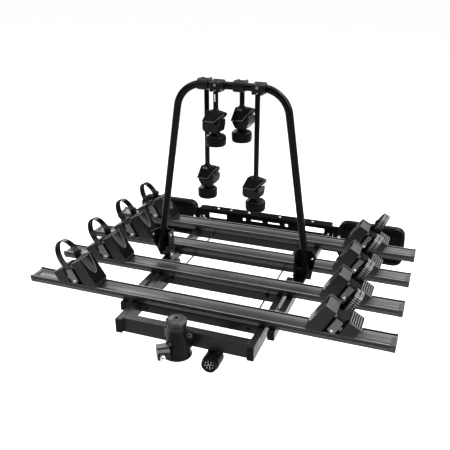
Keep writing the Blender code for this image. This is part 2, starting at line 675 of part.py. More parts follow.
# --- frame arms -------------------------------------------------------------
def build_arm(name, x, side, claw_top):
    """Collar on the hoop's top bar with its hanging rod."""
    rod_y = HOOP_Y + side * ROD_OFFSET
    pivot = (x, HOOP_Y, HOOP_TOP_Z)
    arm = add_part(
        name + "_rod", cylinder((x, rod_y, claw_top - 0.012), (x, rod_y, HOOP_TOP_Z + 0.014), ROD_RADIUS, 16),
        "powder_coat", pivot=pivot)
    y0, y1 = sorted((HOOP_Y, HOOP_Y + side * 0.039))
    join(arm, box((x - 0.0165, y0, HOOP_TOP_Z - 0.017), (x + 0.0165, y1, HOOP_TOP_Z + 0.0165)))
    join(arm, cylinder((x - 0.018, HOOP_Y, HOOP_TOP_Z), (x + 0.018, HOOP_Y, HOOP_TOP_Z), 0.0175, 24))
    bore = HOOP_RADIUS + GAP
    near_bend = abs(x) > 0.08
    flare = 0.0028 if near_bend else 0.0
    flare_start = 0.098 - abs(x) if near_bend else 0.0
    outward = axes(pivot, (0, 1, 0), (0, 0, 1)) if x > 0 else axes(pivot, (0, 0, 1), (0, 1, 0))
    profile = [(0, 0.021), (bore + flare, 0.021), (bore, flare_start), (bore, -0.021), (0, -0.021)]
    cut(arm, turned(profile, outward, 24))


def claw_place(x, side, height):
    """Placement on a rod's axis; the mouth faces +x, turned a little to the front."""
    rod_y = HOOP_Y + side * ROD_OFFSET
    return Matrix.Translation((x, rod_y, height)) @ Matrix.Rotation(CLAW_TURN, 4, "Z")


def build_claw(name, x, side, claw_top, height, wide_mouth):
    """Upper jaw on the rod, narrowing upwards, with the threaded stud below."""
    if wide_mouth:
        outline = [
            (-0.025, 0), (0.018, 0), (0.0275, -0.004), (0.0305, -0.011), (0.0275, -0.016),
            (0.007, -height), (-0.036, -height), (-0.039, -height + 0.005), (-0.0335, -0.014)]
    else:
        outline = [
            (-0.018, 0), (0.024, 0), (0.0345, -0.003), (0.0375, -0.009), (0.0355, -0.015),
            (0.014, -height), (-0.0255, -height), (-0.0285, -height + 0.005), (-0.0245, -0.016)]
    place = claw_place(x, side, claw_top)
    upright = axes((0, 0, 0), (1, 0, 0), (0, 0, 1))
    claw = add_part(name + "_claw", plate(outline, CLAW_DEPTH, place @ upright),
                    "black_plastic", pivot=place.translation)
    slope = math.atan2(0.011, height)
    for face in (-1, 1):
        lean = (Matrix.Translation((0, face * CLAW_DEPTH / 2, -height + 0.003))
                @ Matrix.Rotation(face * slope, 4, "X"))
        low, high = sorted((0.0, face * 0.03))
        wedge = box((-0.06, low, 0.0), (0.06, high, 0.08))
        wedge.transform(place @ lean)
        cut(claw, wedge)
    stud_bottom = -CLAW_BOTTOM - KNOB_HUB - 0.016
    stud = cylinder((0, 0, -height + 0.01), (0, 0, stud_bottom), STUD_RADIUS, 12)
    bore = cylinder((0, 0, -0.0125), (0, 0, 0.02), ROD_RADIUS + GAP, 20)
    for mesh, operation in ((stud, "UNION"), (bore, "DIFFERENCE")):
        mesh.transform(place)
        boolean(claw, mesh, operation)


def build_jaw(name, x, side, claw_top, height, wide_mouth):
    """Lower jaw that slides on the stud, its hooked end facing the upper jaw's slant."""
    drop = height - CLAW_BOTTOM
    if wide_mouth:
        outline = [
            (-0.036, -GAP), (0.0075, -GAP), (0.0095, -0.0065), (0.015, -0.007), (0.018, -0.0035),
            (0.0195, 0.0035), (0.020, 0.0095), (0.0232, 0.0092), (0.024, 0.0), (0.0228, -0.012),
            (0.018, drop + 0.004), (0.013, drop), (-0.030, drop), (-0.0385, drop + 0.007), (-0.0385, -0.004)]
    else:
        outline = [
            (-0.0245, -GAP), (0.015, -GAP), (0.025, 0.0095), (0.033, 0.0205), (0.0365, 0.0185),
            (0.0375, 0.008), (0.0345, -0.006), (0.020, drop), (-0.012, drop), (-0.0215, -0.009)]
    place = claw_place(x, side, claw_top - height)
    upright = axes((0, 0, 0), (1, 0, 0), (0, 0, 1))
    jaw = add_part(name + "_jaw", plate(outline, CLAW_DEPTH - 0.006, place @ upright),
                   "black_plastic", pivot=place.translation)
    bore = cylinder((0, 0, -0.05), (0, 0, 0.05), STUD_RADIUS + GAP, 16)
    bore.transform(place)
    cut(jaw, bore)


def build_knob(name, x, side, claw_top):
    """Fluted hand knob with a short hub under the jaw."""
    flutes = 10
    outline = []
    for i in range(flutes * 4):
        angle = math.tau * i / (flutes * 4)
        radius = KNOB_RADIUS - 0.0012 + 0.0012 * math.cos(flutes * angle)
        outline.append((radius * math.cos(angle), radius * math.sin(angle)))
    top = claw_top - CLAW_BOTTOM - GAP
    place = claw_place(x, side, top)
    middle = -KNOB_HUB - KNOB_GRIP / 2
    body = plate(outline, KNOB_GRIP, place @ Matrix.Translation((0, 0, middle)))
    knob = add_part(name + "_knob", body, "black_plastic", pivot=place.translation)
    low = -KNOB_HUB - KNOB_GRIP
    pieces = (
        (cone((0, 0, low - 0.005), (0, 0, low + 0.001), 0.025, 0.0315, 20), "UNION"),
        (cone((0, 0, -KNOB_HUB - 0.001), (0, 0, 0), 0.024, 0.013, 16), "UNION"),
        (cylinder((0, 0, low + 0.003), (0, 0, 0.02), STUD_RADIUS + GAP, 16), "DIFFERENCE"))
    for mesh, operation in pieces:
        mesh.transform(place)
        boolean(knob, mesh, operation)


def build_arms():
    for name, x, side, claw_top, height, wide_mouth in ARMS:
        build_arm(name, x, side, claw_top)
        build_claw(name, x, side, claw_top, height, wide_mouth)
        build_jaw(name, x, side, claw_top, height, wide_mouth)
        build_knob(name, x, side, claw_top)


# --- light board ------------------------------------------------------------
def build_panel():
    """Folded sheet panel for the number plate, with slots, holes and a top flange."""
    right = [
        (PANEL_HALF_WIDE, PANEL_BOTTOM_Z), (PANEL_HALF_WIDE, PANEL_STEP_Z),
        (PANEL_HALF_TOP, PANEL_STEP_Z), (PANEL_HALF_TOP, PANEL_TOP_Z)]
    outline = right + [(-x, z) for x, z in reversed(right)]
    middle = PANEL_Y + PANEL_THICKNESS / 2
    upright = axes((0, middle, 0), (1, 0, 0), (0, 0, 1))
    panel = add_part("number_plate_panel", plate(outline, PANEL_THICKNESS, upright), "powder_coat")
    flange_half = PANEL_HALF_TOP - 0.0005
    join(panel, box((-flange_half, FLANGE_FRONT_Y, PANEL_TOP_Z - 0.0035),
                    (flange_half, PANEL_Y + 0.001, PANEL_TOP_Z - 0.0005)))
    for side in (-1, 1):
        for near, far, low, high in ((0.170, 0.247, 0.044, 0.064), (0.012, 0.062, 0.052, 0.058)):
            x0, x1 = sorted((side * near, side * far))
            slot = rounded_rectangle((x0, low), (x1, high), 0.0028, 3)
            cut(panel, plate(slot, 0.05, upright))
        cut(panel, cylinder((side * 0.091, PANEL_Y - 0.02, 0.055), (side * 0.091, PANEL_Y + 0.02, 0.055),
                            0.0065, 16))


def build_lamp(label, side):
    """Tail lamp housing, recessed on its front, with a separate lens behind it."""
    x0, x1 = sorted((side * LAMP_INNER_X, side * LAMP_OUTER_X))
    front = LAMP_FRONT_Y
    middle = front + LAMP_DEPTH / 2
    shape = rounded_rectangle((x0, LAMP_BOTTOM_Z), (x1, LAMP_TOP_Z), LAMP_CORNER)
    housing = add_part(
        f"tail_lamp_{label}",
        plate(shape, LAMP_DEPTH, axes((0, middle, 0), (1, 0, 0), (0, 0, 1))),
        "black_plastic")
    rim = 0.011
    recess = rounded_rectangle((x0 + rim, LAMP_BOTTOM_Z + rim), (x1 - rim, LAMP_TOP_Z - rim),
                               LAMP_CORNER - rim)
    cut(housing, plate(recess, 0.024, axes((0, front, 0), (1, 0, 0), (0, 0, 1))))
    pocket_edge = 0.0095
    pocket = rounded_rectangle((x0 + pocket_edge, LAMP_BOTTOM_Z + pocket_edge),
                               (x1 - pocket_edge, LAMP_TOP_Z - pocket_edge), LAMP_CORNER - pocket_edge)
    rear = front + LAMP_DEPTH
    cut(housing, plate(pocket, 0.036, axes((0, rear, 0), (1, 0, 0), (0, 0, 1))))
    ear_front = PANEL_Y + PANEL_THICKNESS + GAP
    e0, e1 = sorted((side * (LAMP_INNER_X - 0.044), side * (LAMP_INNER_X + 0.012)))
    join(housing, box((e0, ear_front, 0.020), (e1, ear_front + 0.005, 0.072)))
    edge = 0.004
    lens = rounded_rectangle((x0 + edge, LAMP_BOTTOM_Z + edge), (x1 - edge, LAMP_TOP_Z - edge),
                             LAMP_CORNER - edge)
    lens_y = front + LAMP_DEPTH + GAP + LENS_DEPTH / 2
    lamp_lens = add_part(f"lamp_lens_{label}",
                         plate(lens, LENS_DEPTH, axes((0, lens_y, 0), (1, 0, 0), (0, 0, 1))), "lamp_lens")
    thin = rounded_rectangle((x0 + edge + 0.004, LAMP_BOTTOM_Z + edge + 0.004),
                             (x1 - edge - 0.004, LAMP_TOP_Z - edge - 0.004), LAMP_CORNER - edge - 0.004)
    inside_y = front + LAMP_DEPTH
    cut(lamp_lens, plate(thin, 0.012, axes((0, inside_y, 0), (1, 0, 0), (0, 0, 1))))


def build_release_rods():
    """Thin pull rods from the light board through the cross tubes to the latches."""
    for label, side in (("left", -1), ("right", 1)):
        start = (side * RELEASE_X, RELEASE_FRONT_Y, RELEASE_Z)
        end = (side * RELEASE_X, PANEL_Y - GAP, RELEASE_Z)
        add_part(f"release_rod_{label}", cylinder(start, end, RELEASE_RADIUS, 12), "powder_coat")


def main():
    build_base_frame()
    build_tube_caps()
    build_tilt_shaft()
    build_coupling_body()
    build_coupling_knob()
    build_coupling_clamp()
    build_plug()
    build_platform_frame()
    build_rails()
    build_supports_and_straps()
    build_hoop()
    for label, side in (("left", -1), ("right", 1)):
        build_hoop_bracket(label, side)
        build_lamp(label, side)
    build_arms()
    build_panel()
    build_release_rods()


main()
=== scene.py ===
import bpy
import bmesh
import math
from mathutils import Matrix, Vector


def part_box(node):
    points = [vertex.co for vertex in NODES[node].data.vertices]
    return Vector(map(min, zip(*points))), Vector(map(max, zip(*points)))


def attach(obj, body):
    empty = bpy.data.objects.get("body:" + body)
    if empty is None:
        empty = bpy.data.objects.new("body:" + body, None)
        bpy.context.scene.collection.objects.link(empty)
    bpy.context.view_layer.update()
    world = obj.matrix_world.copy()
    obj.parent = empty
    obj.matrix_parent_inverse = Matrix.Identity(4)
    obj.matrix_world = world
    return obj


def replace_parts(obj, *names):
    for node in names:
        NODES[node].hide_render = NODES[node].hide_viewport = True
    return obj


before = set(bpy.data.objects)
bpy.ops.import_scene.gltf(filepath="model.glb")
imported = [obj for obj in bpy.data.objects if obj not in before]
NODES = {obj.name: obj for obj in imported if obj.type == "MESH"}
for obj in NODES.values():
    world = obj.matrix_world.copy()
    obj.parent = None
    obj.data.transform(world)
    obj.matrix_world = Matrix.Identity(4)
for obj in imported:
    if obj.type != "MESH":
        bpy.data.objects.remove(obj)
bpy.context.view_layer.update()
SCENE = bpy.context.scene
SIDES = (("left", -1), ("right", 1))


# --- materials ---------------------------------------------------------------
class Nodes:
    """Short helper that adds and links shader nodes of one material."""

    def __init__(self, name):
        self.material = bpy.data.materials.new(name)
        self.material.use_nodes = True
        self.tree = self.material.node_tree
        self.shader = self.tree.nodes["Principled BSDF"]
        self.texture = self.add("ShaderNodeTexCoord")
        self.coords = self.texture.outputs["Object"]

    def add(self, kind, **values):
        node = self.tree.nodes.new(kind)
        for key, value in values.items():
            if hasattr(node, key):
                setattr(node, key, value)
            else:
                node.inputs[key].default_value = value
        return node

    def link(self, source, target):
        self.tree.links.new(source, target)

    def scaled(self, scale):
        mapping = self.add("ShaderNodeMapping")
        mapping.inputs["Scale"].default_value = scale
        self.link(self.coords, mapping.inputs["Vector"])
        return mapping.outputs["Vector"]

    def noise(self, scale, detail=4.0, rough=0.55, stretch=None):
        node = self.add("ShaderNodeTexNoise")
        node.inputs["Scale"].default_value = scale
        node.inputs["Detail"].default_value = detail
        node.inputs["Roughness"].default_value = rough
        self.link(self.scaled(stretch) if stretch else self.coords, node.inputs["Vector"])
        return node.outputs["Fac"]

    def ramp(self, source, stops):
        node = self.add("ShaderNodeValToRGB")
        elements = node.color_ramp.elements
        while len(elements) < len(stops):
            elements.new(0.5)
        for element, (place, colour) in zip(elements, stops):
            element.position = place
            element.color = (*colour, 1.0)
        self.link(source, node.inputs["Fac"])
        return node.outputs["Color"]

    def spread(self, source, low, high, start=0.3, end=0.7):
        node = self.add("ShaderNodeMapRange")
        node.inputs["From Min"].default_value = start
        node.inputs["From Max"].default_value = end
        node.inputs["To Min"].default_value = low
        node.inputs["To Max"].default_value = high
        self.link(source, node.inputs["Value"])
        return node.outputs["Result"]

    def product(self, first, second):
        node = self.add("ShaderNodeMath", operation="MULTIPLY")
        self.link(first, node.inputs[0])
        self.link(second, node.inputs[1])
        return node.outputs[0]

    def bump(self, source, distance, strength=1.0, after=None):
        node = self.add("ShaderNodeBump")
        node.inputs["Strength"].default_value = strength
        node.inputs["Distance"].default_value = distance
        self.link(source, node.inputs["Height"])
        if after is not None:
            self.link(after, node.inputs["Normal"])
        return node.outputs["Normal"]

    def mixed(self, factor, a, b):
        node = self.add("ShaderNodeMix", data_type="RGBA")
        self.link(factor, node.inputs[0])
        for index, value in ((6, a), (7, b)):
            if isinstance(value, tuple):
                node.inputs[index].default_value = (*value, 1.0)
            else:
                self.link(value, node.inputs[index])
        return node.outputs[2]

    def edges(self, radius=0.0012):
        """1 on the edges of the shape, 0 on its flats."""
        rounded = self.add("ShaderNodeBevel", samples=4)
        rounded.inputs["Radius"].default_value = radius
        geometry = self.add("ShaderNodeNewGeometry")
        dot = self.add("ShaderNodeVectorMath", operation="DOT_PRODUCT")
        self.link(rounded.outputs["Normal"], dot.inputs[0])
        self.link(geometry.outputs["Normal"], dot.inputs[1])
        return self.spread(dot.outputs["Value"], 1.0, 0.0, 0.90, 0.992)

    def upward(self, start, end):
        """1 where the surface faces up in the object's own frame."""
        split = self.add("ShaderNodeSeparateXYZ")
        self.link(self.texture.outputs["Normal"], split.inputs[0])
        return self.spread(split.outputs["Z"], 0.0, 1.0, start, end)

    def finish(self, colour, roughness, normal, **constants):
        self.link(colour, self.shader.inputs["Base Color"])
        self.link(roughness, self.shader.inputs["Roughness"])
        self.link(normal, self.shader.inputs["Normal"])
        for key, value in constants.items():
            self.shader.inputs[key.replace("_", " ")].default_value = value
        return self.material


def grey(level, blue=None):
    """A neutral colour, or one whose blue differs a little."""
    return (level, level, level if blue is None else blue)


def brighter(colour, factor, lift):
    return tuple(min(1.0, c * factor + lift) for c in colour)


def powder_coat(name, dark, light, gloss=0.36, level=0.4):
    """Satin black powder coat: fine orange peel, faint dust, edges lightened partly as wear and partly as
    painted highlight.
    """
    n = Nodes(name)
    colour = n.ramp(n.noise(5.0, 3.0), [(0.35, dark), (0.7, light)])
    # edge mask lightens the edges: partly rubbed wear, partly a painted highlight along them
    worn_and_highlit_edges = n.product(n.edges(), n.spread(n.noise(70.0, 5.0), 0.1, 0.9, 0.35, 0.65))
    colour = n.mixed(worn_and_highlit_edges, colour, brighter(light, 4.0, 0.03))
    rough = n.spread(n.noise(14.0, 5.0), gloss - 0.05, gloss + 0.09)
    normal = n.bump(n.noise(900.0, 2.0), 0.0001, 0.35)
    normal = n.bump(n.noise(2600.0, 1.0), 0.00004, 0.3, normal)
    return n.finish(colour, rough, normal, Specular_IOR_Level=level)


def moulded(name, dark, light, gloss=0.42, level=0.4, edge=3.0, grain=1500.0, depth=0.00006):
    """Moulded plastic: spark-eroded grain, slight haze, paler edges, partly wear and partly painted
    highlight.
    """
    n = Nodes(name)
    colour = n.ramp(n.noise(14.0, 4.0), [(0.3, dark), (0.72, light)])
    # paler edges, partly rubbed wear and partly painted highlight; edge sets how far they are lightened
    worn_and_highlit_edges = n.product(n.edges(0.0010), n.spread(n.noise(50.0, 4.0), 0.25, 0.9, 0.35, 0.65))
    colour = n.mixed(worn_and_highlit_edges, colour, brighter(light, edge, 0.02))
    rough = n.spread(n.noise(24.0, 5.0), gloss - 0.06, gloss + 0.10)
    voronoi = n.add("ShaderNodeTexVoronoi")
    voronoi.inputs["Scale"].default_value = grain
    n.link(n.coords, voronoi.inputs["Vector"])
    normal = n.bump(voronoi.outputs["Distance"], depth, 0.4)
    normal = n.bump(n.noise(grain * 0.4, 2.0), depth * 1.5, 0.3, normal)
    return n.finish(colour, rough, normal, Specular_IOR_Level=level)


def painted_light_by_height(name, dark, light, low, high):
    """Moulded plastic with painted light: darker below one height and paler above another, as painted shade
    grading to a painted reflection.
    """
    n = Nodes(name)
    split = n.add("ShaderNodeSeparateXYZ")
    n.link(n.coords, split.inputs[0])
    height = n.spread(split.outputs["Z"], 0.0, 1.0, low, high)
    colour = n.ramp(height, [(0.0, dark), (1.0, light)])
    rough = n.spread(n.noise(24.0, 5.0), 0.18, 0.30)
    normal = n.bump(n.noise(600.0, 2.0), 0.00009, 0.3)
    return n.finish(colour, rough, normal, Specular_IOR_Level=0.12)


def anodised_rail(name):
    """Extruded aluminium: dark walls, faces that point up painted paler as painted light on the tops, draw
    lines along X.
    """
    n = Nodes(name)
    streak = n.noise(1.0, 6.0, 0.7, stretch=(1.2, 420.0, 420.0))
    broad = n.noise(1.0, 3.0, 0.5, stretch=(2.0, 70.0, 70.0))
    walls = n.ramp(streak, [(0.3, grey(0.022, 0.0225)), (0.7, grey(0.030, 0.0305))])
    gutter = n.ramp(streak, [(0.25, grey(0.048, 0.049)), (0.75, grey(0.062, 0.063))])
    # faces pointing up take the paler tone: painted light on the tops of the rail
    colour = n.mixed(n.upward(0.80, 0.93), walls, gutter)
    # edge mask lightens the edges: partly rubbed wear, partly a painted highlight along them
    worn_and_highlit_edges = n.product(n.edges(0.0007), n.spread(n.noise(40.0, 5.0), 0.2, 0.8, 0.35, 0.65))
    colour = n.mixed(worn_and_highlit_edges, colour, grey(0.12, 0.122))
    rough = n.spread(broad, 0.36, 0.38)
    normal = n.bump(streak, 0.00003, 0.2)
    return n.finish(colour, rough, normal, Metallic=0.85)


def steel(name, dark=grey(0.40, 0.41), light=grey(0.68), gloss=0.24):
    """Zinc plated steel with a faint turned grain."""
    n = Nodes(name)
    colour = n.ramp(n.noise(120.0, 4.0), [(0.3, dark), (0.7, light)])
    rough = n.spread(n.noise(260.0, 3.0), gloss - 0.06, gloss + 0.12)
    normal = n.bump(n.noise(900.0, 2.0), 0.00004, 0.5)
    return n.finish(colour, rough, normal, Metallic=1.0)


def rubbery(name, dark, light, low=0.55, high=0.75, level=0.2):
    """Rubber or smooth band plastic with a fine grain."""
    n = Nodes(name)
    colour = n.ramp(n.noise(40.0, 5.0), [(0.3, dark), (0.7, light)])
    rough = n.spread(n.noise(70.0, 4.0), low, high)
    normal = n.bump(n.noise(1800.0, 2.0), 0.00006, 0.5)
    return n.finish(colour, rough, normal, Specular_IOR_Level=level)


def lens_plastic(name, dark, light):
    """Prismatic lamp lens."""
    n = Nodes(name)
    wave = n.add("ShaderNodeTexWave", wave_type="BANDS", bands_direction="X")
    wave.inputs["Scale"].default_value = 90.0
    n.link(n.coords, wave.inputs["Vector"])
    cross = n.add("ShaderNodeTexWave", wave_type="BANDS", bands_direction="Z")
    cross.inputs["Scale"].default_value = 90.0
    n.link(n.coords, cross.inputs["Vector"])
    colour = n.ramp(n.noise(25.0, 3.0), [(0.3, dark), (0.7, light)])
    rough = n.spread(n.noise(60.0, 3.0), 0.08, 0.2)
    normal = n.bump(wave.outputs["Fac"], 0.0005, 0.5)
    normal = n.bump(cross.outputs["Fac"], 0.0005, 0.5, normal)
    return n.finish(colour, rough, normal, Coat_Weight=0.6, Coat_Roughness=0.06)


POWDER = powder_coat("black_powder_coat", grey(0.004, 0.0045), grey(0.0065, 0.007), 0.34, 0.12)
BELL_COAT = powder_coat("bell_powder_coat", grey(0.0018, 0.0021), grey(0.0030, 0.0033), 0.38, 0.08)
HOOP_COAT = powder_coat("hoop_powder_coat", grey(0.0009, 0.0011), grey(0.0016, 0.0018), 0.28, 0.08)
PANEL_COAT = powder_coat("panel_powder_coat", grey(0.0010, 0.0012), grey(0.0018, 0.0020), 0.36, 0.03)
RAIL = anodised_rail("rail_anodised")
# pale lip-top colour: a painted highlight along the rails' lips
LIP_HIGHLIGHT = moulded("rail_lip_painted_highlight", grey(0.15, 0.152), grey(0.20, 0.202), 0.34, 0.3, 1.5)
CAP = moulded("cap_moulded", grey(0.002, 0.0025), grey(0.004, 0.0045), 0.34, 0.04, 14.0)
PLASTIC = moulded("black_moulded", grey(0.0015, 0.0018), grey(0.0028, 0.0030), 0.34, 0.05, 8.0)
CLAW = moulded("claw_moulded", grey(0.0025, 0.003), grey(0.0045, 0.005), 0.27, 0.10, 14.0)
# pale crease colour: a painted highlight along the claws' creases
CREASE_HIGHLIGHT = moulded("claw_crease_painted_highlight", grey(0.045, 0.046), grey(0.075, 0.076), 0.24, 0.5, 1.5)
KNOB = moulded("knob_moulded", grey(0.0012, 0.0015), grey(0.0022, 0.0025), 0.30, 0.05, 12.0)
GREY = moulded("grey_moulded", grey(0.048, 0.050), grey(0.072, 0.074), 0.40, 0.5, 2.2)
# paler top panel: painted light falling on the support's top
PAN = moulded("support_top_painted_light", grey(0.022, 0.0225), grey(0.034, 0.0345), 0.40, 0.3, 2.5)
SUPPORT = moulded("support_moulded", grey(0.0100, 0.0105), grey(0.0145, 0.0150), 0.38, 0.10, 5.0)
# wheel-face sheets: painted shade; the right one grades to a painted reflection near its top
WHEEL_FACE_LIGHT = {"left": painted_light_by_height("wheel_face_painted_shade_left", grey(0.0015, 0.0018), grey(0.0025, 0.0028), 0.085, 0.160),
         "right": painted_light_by_height("wheel_face_shade_and_reflection_right", grey(0.004, 0.0042), grey(0.026, 0.0265), 0.085, 0.160)}
# strap teeth: painted highlight on the upper teeth of the right straps; the left copy stays dark as the
# unlit side
STRAP_TEETH_LIGHT = {"left": painted_light_by_height("strap_teeth_shaded_left", grey(0.0015, 0.0018), grey(0.0030, 0.0033), 0.160, 0.185),
         "right": painted_light_by_height("strap_teeth_painted_highlight_right", grey(0.0015, 0.0018), grey(0.20, 0.203), 0.160, 0.190)}
STEP = moulded("step_moulded", grey(0.15, 0.152), grey(0.20, 0.202), 0.32, 0.5, 1.3)
SKIRT = moulded("skirt_moulded", grey(0.0035, 0.0037), grey(0.0055, 0.0058), 0.36, 0.12, 4.0)
CAP_DISC = moulded("cap_disc_moulded", grey(0.018, 0.0185), grey(0.027, 0.0275), 0.38, 0.20, 2.5)
# near-black: painted shade in rail grooves and support slots, and the plug insert's own black
BLACK_AND_SHADE = moulded("black_insert_and_painted_shade", grey(0.0012, 0.0015), grey(0.0022, 0.0025), 0.5, 0.03, 6.0)
RAIL_CAP = moulded("rail_cap_moulded", grey(0.013, 0.0135), grey(0.020, 0.0205), 0.42, 0.22, 2.5)
STRAP = rubbery("strap_band", grey(0.0018, 0.002), grey(0.0032, 0.0035), 0.14, 0.24, 0.34)
PAD = rubbery("mouth_rubber", grey(0.004), grey(0.008))
STEEL = steel("zinc_steel")
DARK_STEEL = steel("blackened_steel", grey(0.10), grey(0.20), 0.30)
PIN = moulded("contact_pins", grey(0.62), grey(0.80), 0.30, 0.5, 1.1)
RED = lens_plastic("red_lens", (0.30, 0.008, 0.006), (0.48, 0.02, 0.012))
AMBER = lens_plastic("amber_lens", (0.60, 0.16, 0.01), (0.75, 0.26, 0.02))
CLEAR = lens_plastic("clear_lens", grey(0.55), grey(0.72))


# --- shapes --------------------------------------------------------------------
def axes(origin, x_axis, y_axis):
    x_axis, y_axis = Vector(x_axis).normalized(), Vector(y_axis).normalized()
    turn = Matrix((x_axis, y_axis, x_axis.cross(y_axis))).transposed().to_4x4()
    return Matrix.Translation(origin) @ turn


def facing(point, direction):
    """Placement at a point whose local z looks along a direction."""
    return Matrix.Translation(point) @ Vector(direction).to_track_quat("Z", "Y").to_matrix().to_4x4()


class Shape:
    """Several closed shapes gathered in one mesh."""

    def __init__(self, place=None):
        self.mesh = bmesh.new()
        self.place = place or Matrix()

    def solid(self, points, faces, place=None):
        matrix = self.place @ (place or Matrix())
        corners = [self.mesh.verts.new(matrix @ Vector(p)) for p in points]
        made = [self.mesh.faces.new([corners[i] for i in face]) for face in faces]
        if matrix.determinant() < 0:
            bmesh.ops.reverse_faces(self.mesh, faces=made)
        return made

    def loft(self, rings, place=None, closed=False):
        """Rings of equal length joined in order; the two ends are capped unless closed."""
        count = len(rings[0])
        points = [p for ring in rings for p in ring]
        faces = []
        spans = len(rings) if closed else len(rings) - 1
        for r in range(spans):
            a, b = r * count, ((r + 1) % len(rings)) * count
            for i in range(count):
                j = (i + 1) % count
                faces.append((a + i, a + j, b + j, b + i))
        if not closed:
            last = (len(rings) - 1) * count
            faces.append(tuple(range(count))[::-1])
            faces.append(tuple(last + i for i in range(count)))
        return self.solid(points, faces, place)

    def prism(self, outline, low, high, place=None):
        """An anticlockwise outline in x and y, from low to high in z."""
        rings = [[(x, y, z) for x, y in outline] for z in (low, high)]
        return self.loft(rings, place)

    def box(self, low, high, place=None):
        (x0, y0, z0), (x1, y1, z1) = low, high
        return self.prism([(x0, y0), (x1, y0), (x1, y1), (x0, y1)], z0, z1, place)

    def lathe(self, profile, place=None, segments=32):
        """(radius, height) pairs from low to high, turned about local z."""
        rings = []
        for radius, height in profile:
            ring = [(radius * math.cos(math.tau * i / segments),
                     radius * math.sin(math.tau * i / segments), height) for i in range(segments)]
            rings.append(ring)
        return self.loft(rings, place)

    def ring(self, profile, place=None, segments=32):
        """A closed (radius, height) profile, turned about local z, with its hole left open."""
        rings = []
        for radius, height in profile:
            ring = [(radius * math.cos(math.tau * i / segments),
                     radius * math.sin(math.tau * i / segments), height) for i in range(segments)]
            rings.append(ring)
        return self.loft(rings, place, True)

    def tube(self, points, radius, segments=12):
        """A round bar bent through points."""
        points = [Vector(p) for p in points]
        rings = []
        side = None
        for i, point in enumerate(points):
            ahead = (points[min(i + 1, len(points) - 1)] - points[max(i - 1, 0)]).normalized()
            if side is None:
                side = ahead.orthogonal().normalized()
            side = (side - ahead * side.dot(ahead)).normalized()
            other = ahead.cross(side)
            ring = []
            for k in range(segments):
                angle = math.tau * k / segments
                ring.append(point + (side * math.cos(angle) + other * math.sin(angle)) * radius)
            rings.append(ring)
        return self.loft(rings)

    def bolt(self, point, direction, radius=0.0045, height=0.003, segments=20):
        """Domed bolt head on a thin washer."""
        profile = [(radius * 1.35, -0.0005), (radius * 1.35, 0.0007), (radius, 0.0008),
                   (radius, height * 0.55), (radius * 0.8, height * 0.85), (radius * 0.35, height)]
        return self.lathe(profile, facing(point, direction), segments)

    def hex_bolt(self, point, direction, radius=0.0055, height=0.004):
        place = facing(point, direction)
        self.lathe([(radius * 1.45, -0.0005), (radius * 1.45, 0.0008)], place, 20)
        return self.lathe([(radius, 0.0008), (radius, height - 0.0006), (radius * 0.86, height)], place, 6)

    def done(self, name, material, body, bevel=0.0006, segments=2, angle=35):
        """Turn the gathered shapes into one named piece that rides on a body."""
        mesh = bpy.data.meshes.new(name)
        bmesh.ops.recalc_face_normals(self.mesh, faces=self.mesh.faces)
        self.mesh.to_mesh(mesh)
        self.mesh.free()
        mesh.materials.append(material)
        mesh.shade_smooth()
        mesh.set_sharp_from_angle(angle=math.radians(angle))
        piece = bpy.data.objects.new(name, mesh)
        SCENE.collection.objects.link(piece)
        if bevel:
            soften(piece, bevel, segments, angle)
        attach(piece, body)
        return piece


def soften(piece, width, segments, angle):
    bevel = piece.modifiers.new("bevel", "BEVEL")
    bevel.width = width
    bevel.segments = segments
    bevel.limit_method = "ANGLE"
    bevel.angle_limit = math.radians(angle)
    normals = piece.modifiers.new("normals", "WEIGHTED_NORMAL")
    normals.keep_sharp = True


def arc(centre, radius, start, end, steps):
    angles = [math.radians(start + (end - start) * i / steps) for i in range(steps + 1)]
    return [(centre[0] + radius * math.cos(a), centre[1] + radius * math.sin(a)) for a in angles]


def rounded(low, high, radius, steps=5):
    """Anticlockwise rounded rectangle."""
    (x0, y0), (x1, y1) = low, high
    corners = (
        ((x1 - radius, y0 + radius), -90), ((x1 - radius, y1 - radius), 0),
        ((x0 + radius, y1 - radius), 90), ((x0 + radius, y0 + radius), 180))
    points = []
    for centre, start in corners:
        points += arc(centre, radius, start, start + 90, steps)
    return points


# --- CAD nodes ----------------------------------------------------------------
def paint(node, material):
    """Give a CAD node its finish, and soften its sharp edges."""
    part = NODES[node]
    part.data.materials.clear()
    part.data.materials.append(material)
    weld = part.modifiers.new("weld", "WELD")
    weld.merge_threshold = 0.00002
    soften(part, 0.0008, 2, 38)


def middle(node):
    low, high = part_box(node)
    return (low + high) / 2


FINISH = {
    "base_frame": POWDER, "coupling_body": BELL_COAT, "coupling_bracket": POWDER, "platform_frame": POWDER,
    "hoop": HOOP_COAT, "hoop_bracket_left": POWDER, "hoop_bracket_right": POWDER,
    "number_plate_panel": PANEL_COAT, "release_rod_left": POWDER, "release_rod_right": POWDER,
    "base_cap_left": CAP, "base_cap_right": CAP, "platform_cap_left": CAP, "platform_cap_right": CAP,
    "coupling_lever": PLASTIC, "plug_holder": PLASTIC, "plug": PLASTIC,
    "tail_lamp_left": PLASTIC, "tail_lamp_right": PLASTIC, "coupling_knob": GREY,
    "tilt_shaft": STEEL, "coupling_pin": STEEL, "lamp_lens_left": RED, "lamp_lens_right": RED,
}
for i in range(1, 5):
    FINISH[f"wheel_rail_{i}"] = RAIL
    FINISH[f"arm_{i}_rod"] = HOOP_COAT
    FINISH[f"arm_{i}_claw"] = CLAW
    FINISH[f"arm_{i}_jaw"] = CLAW
    FINISH[f"arm_{i}_knob"] = KNOB
    for label, _ in SIDES:
        FINISH[f"wheel_support_{i}_{label}"] = SUPPORT
        FINISH[f"wheel_strap_{i}_{label}"] = STRAP
for node, material in FINISH.items():
    paint(node, material)


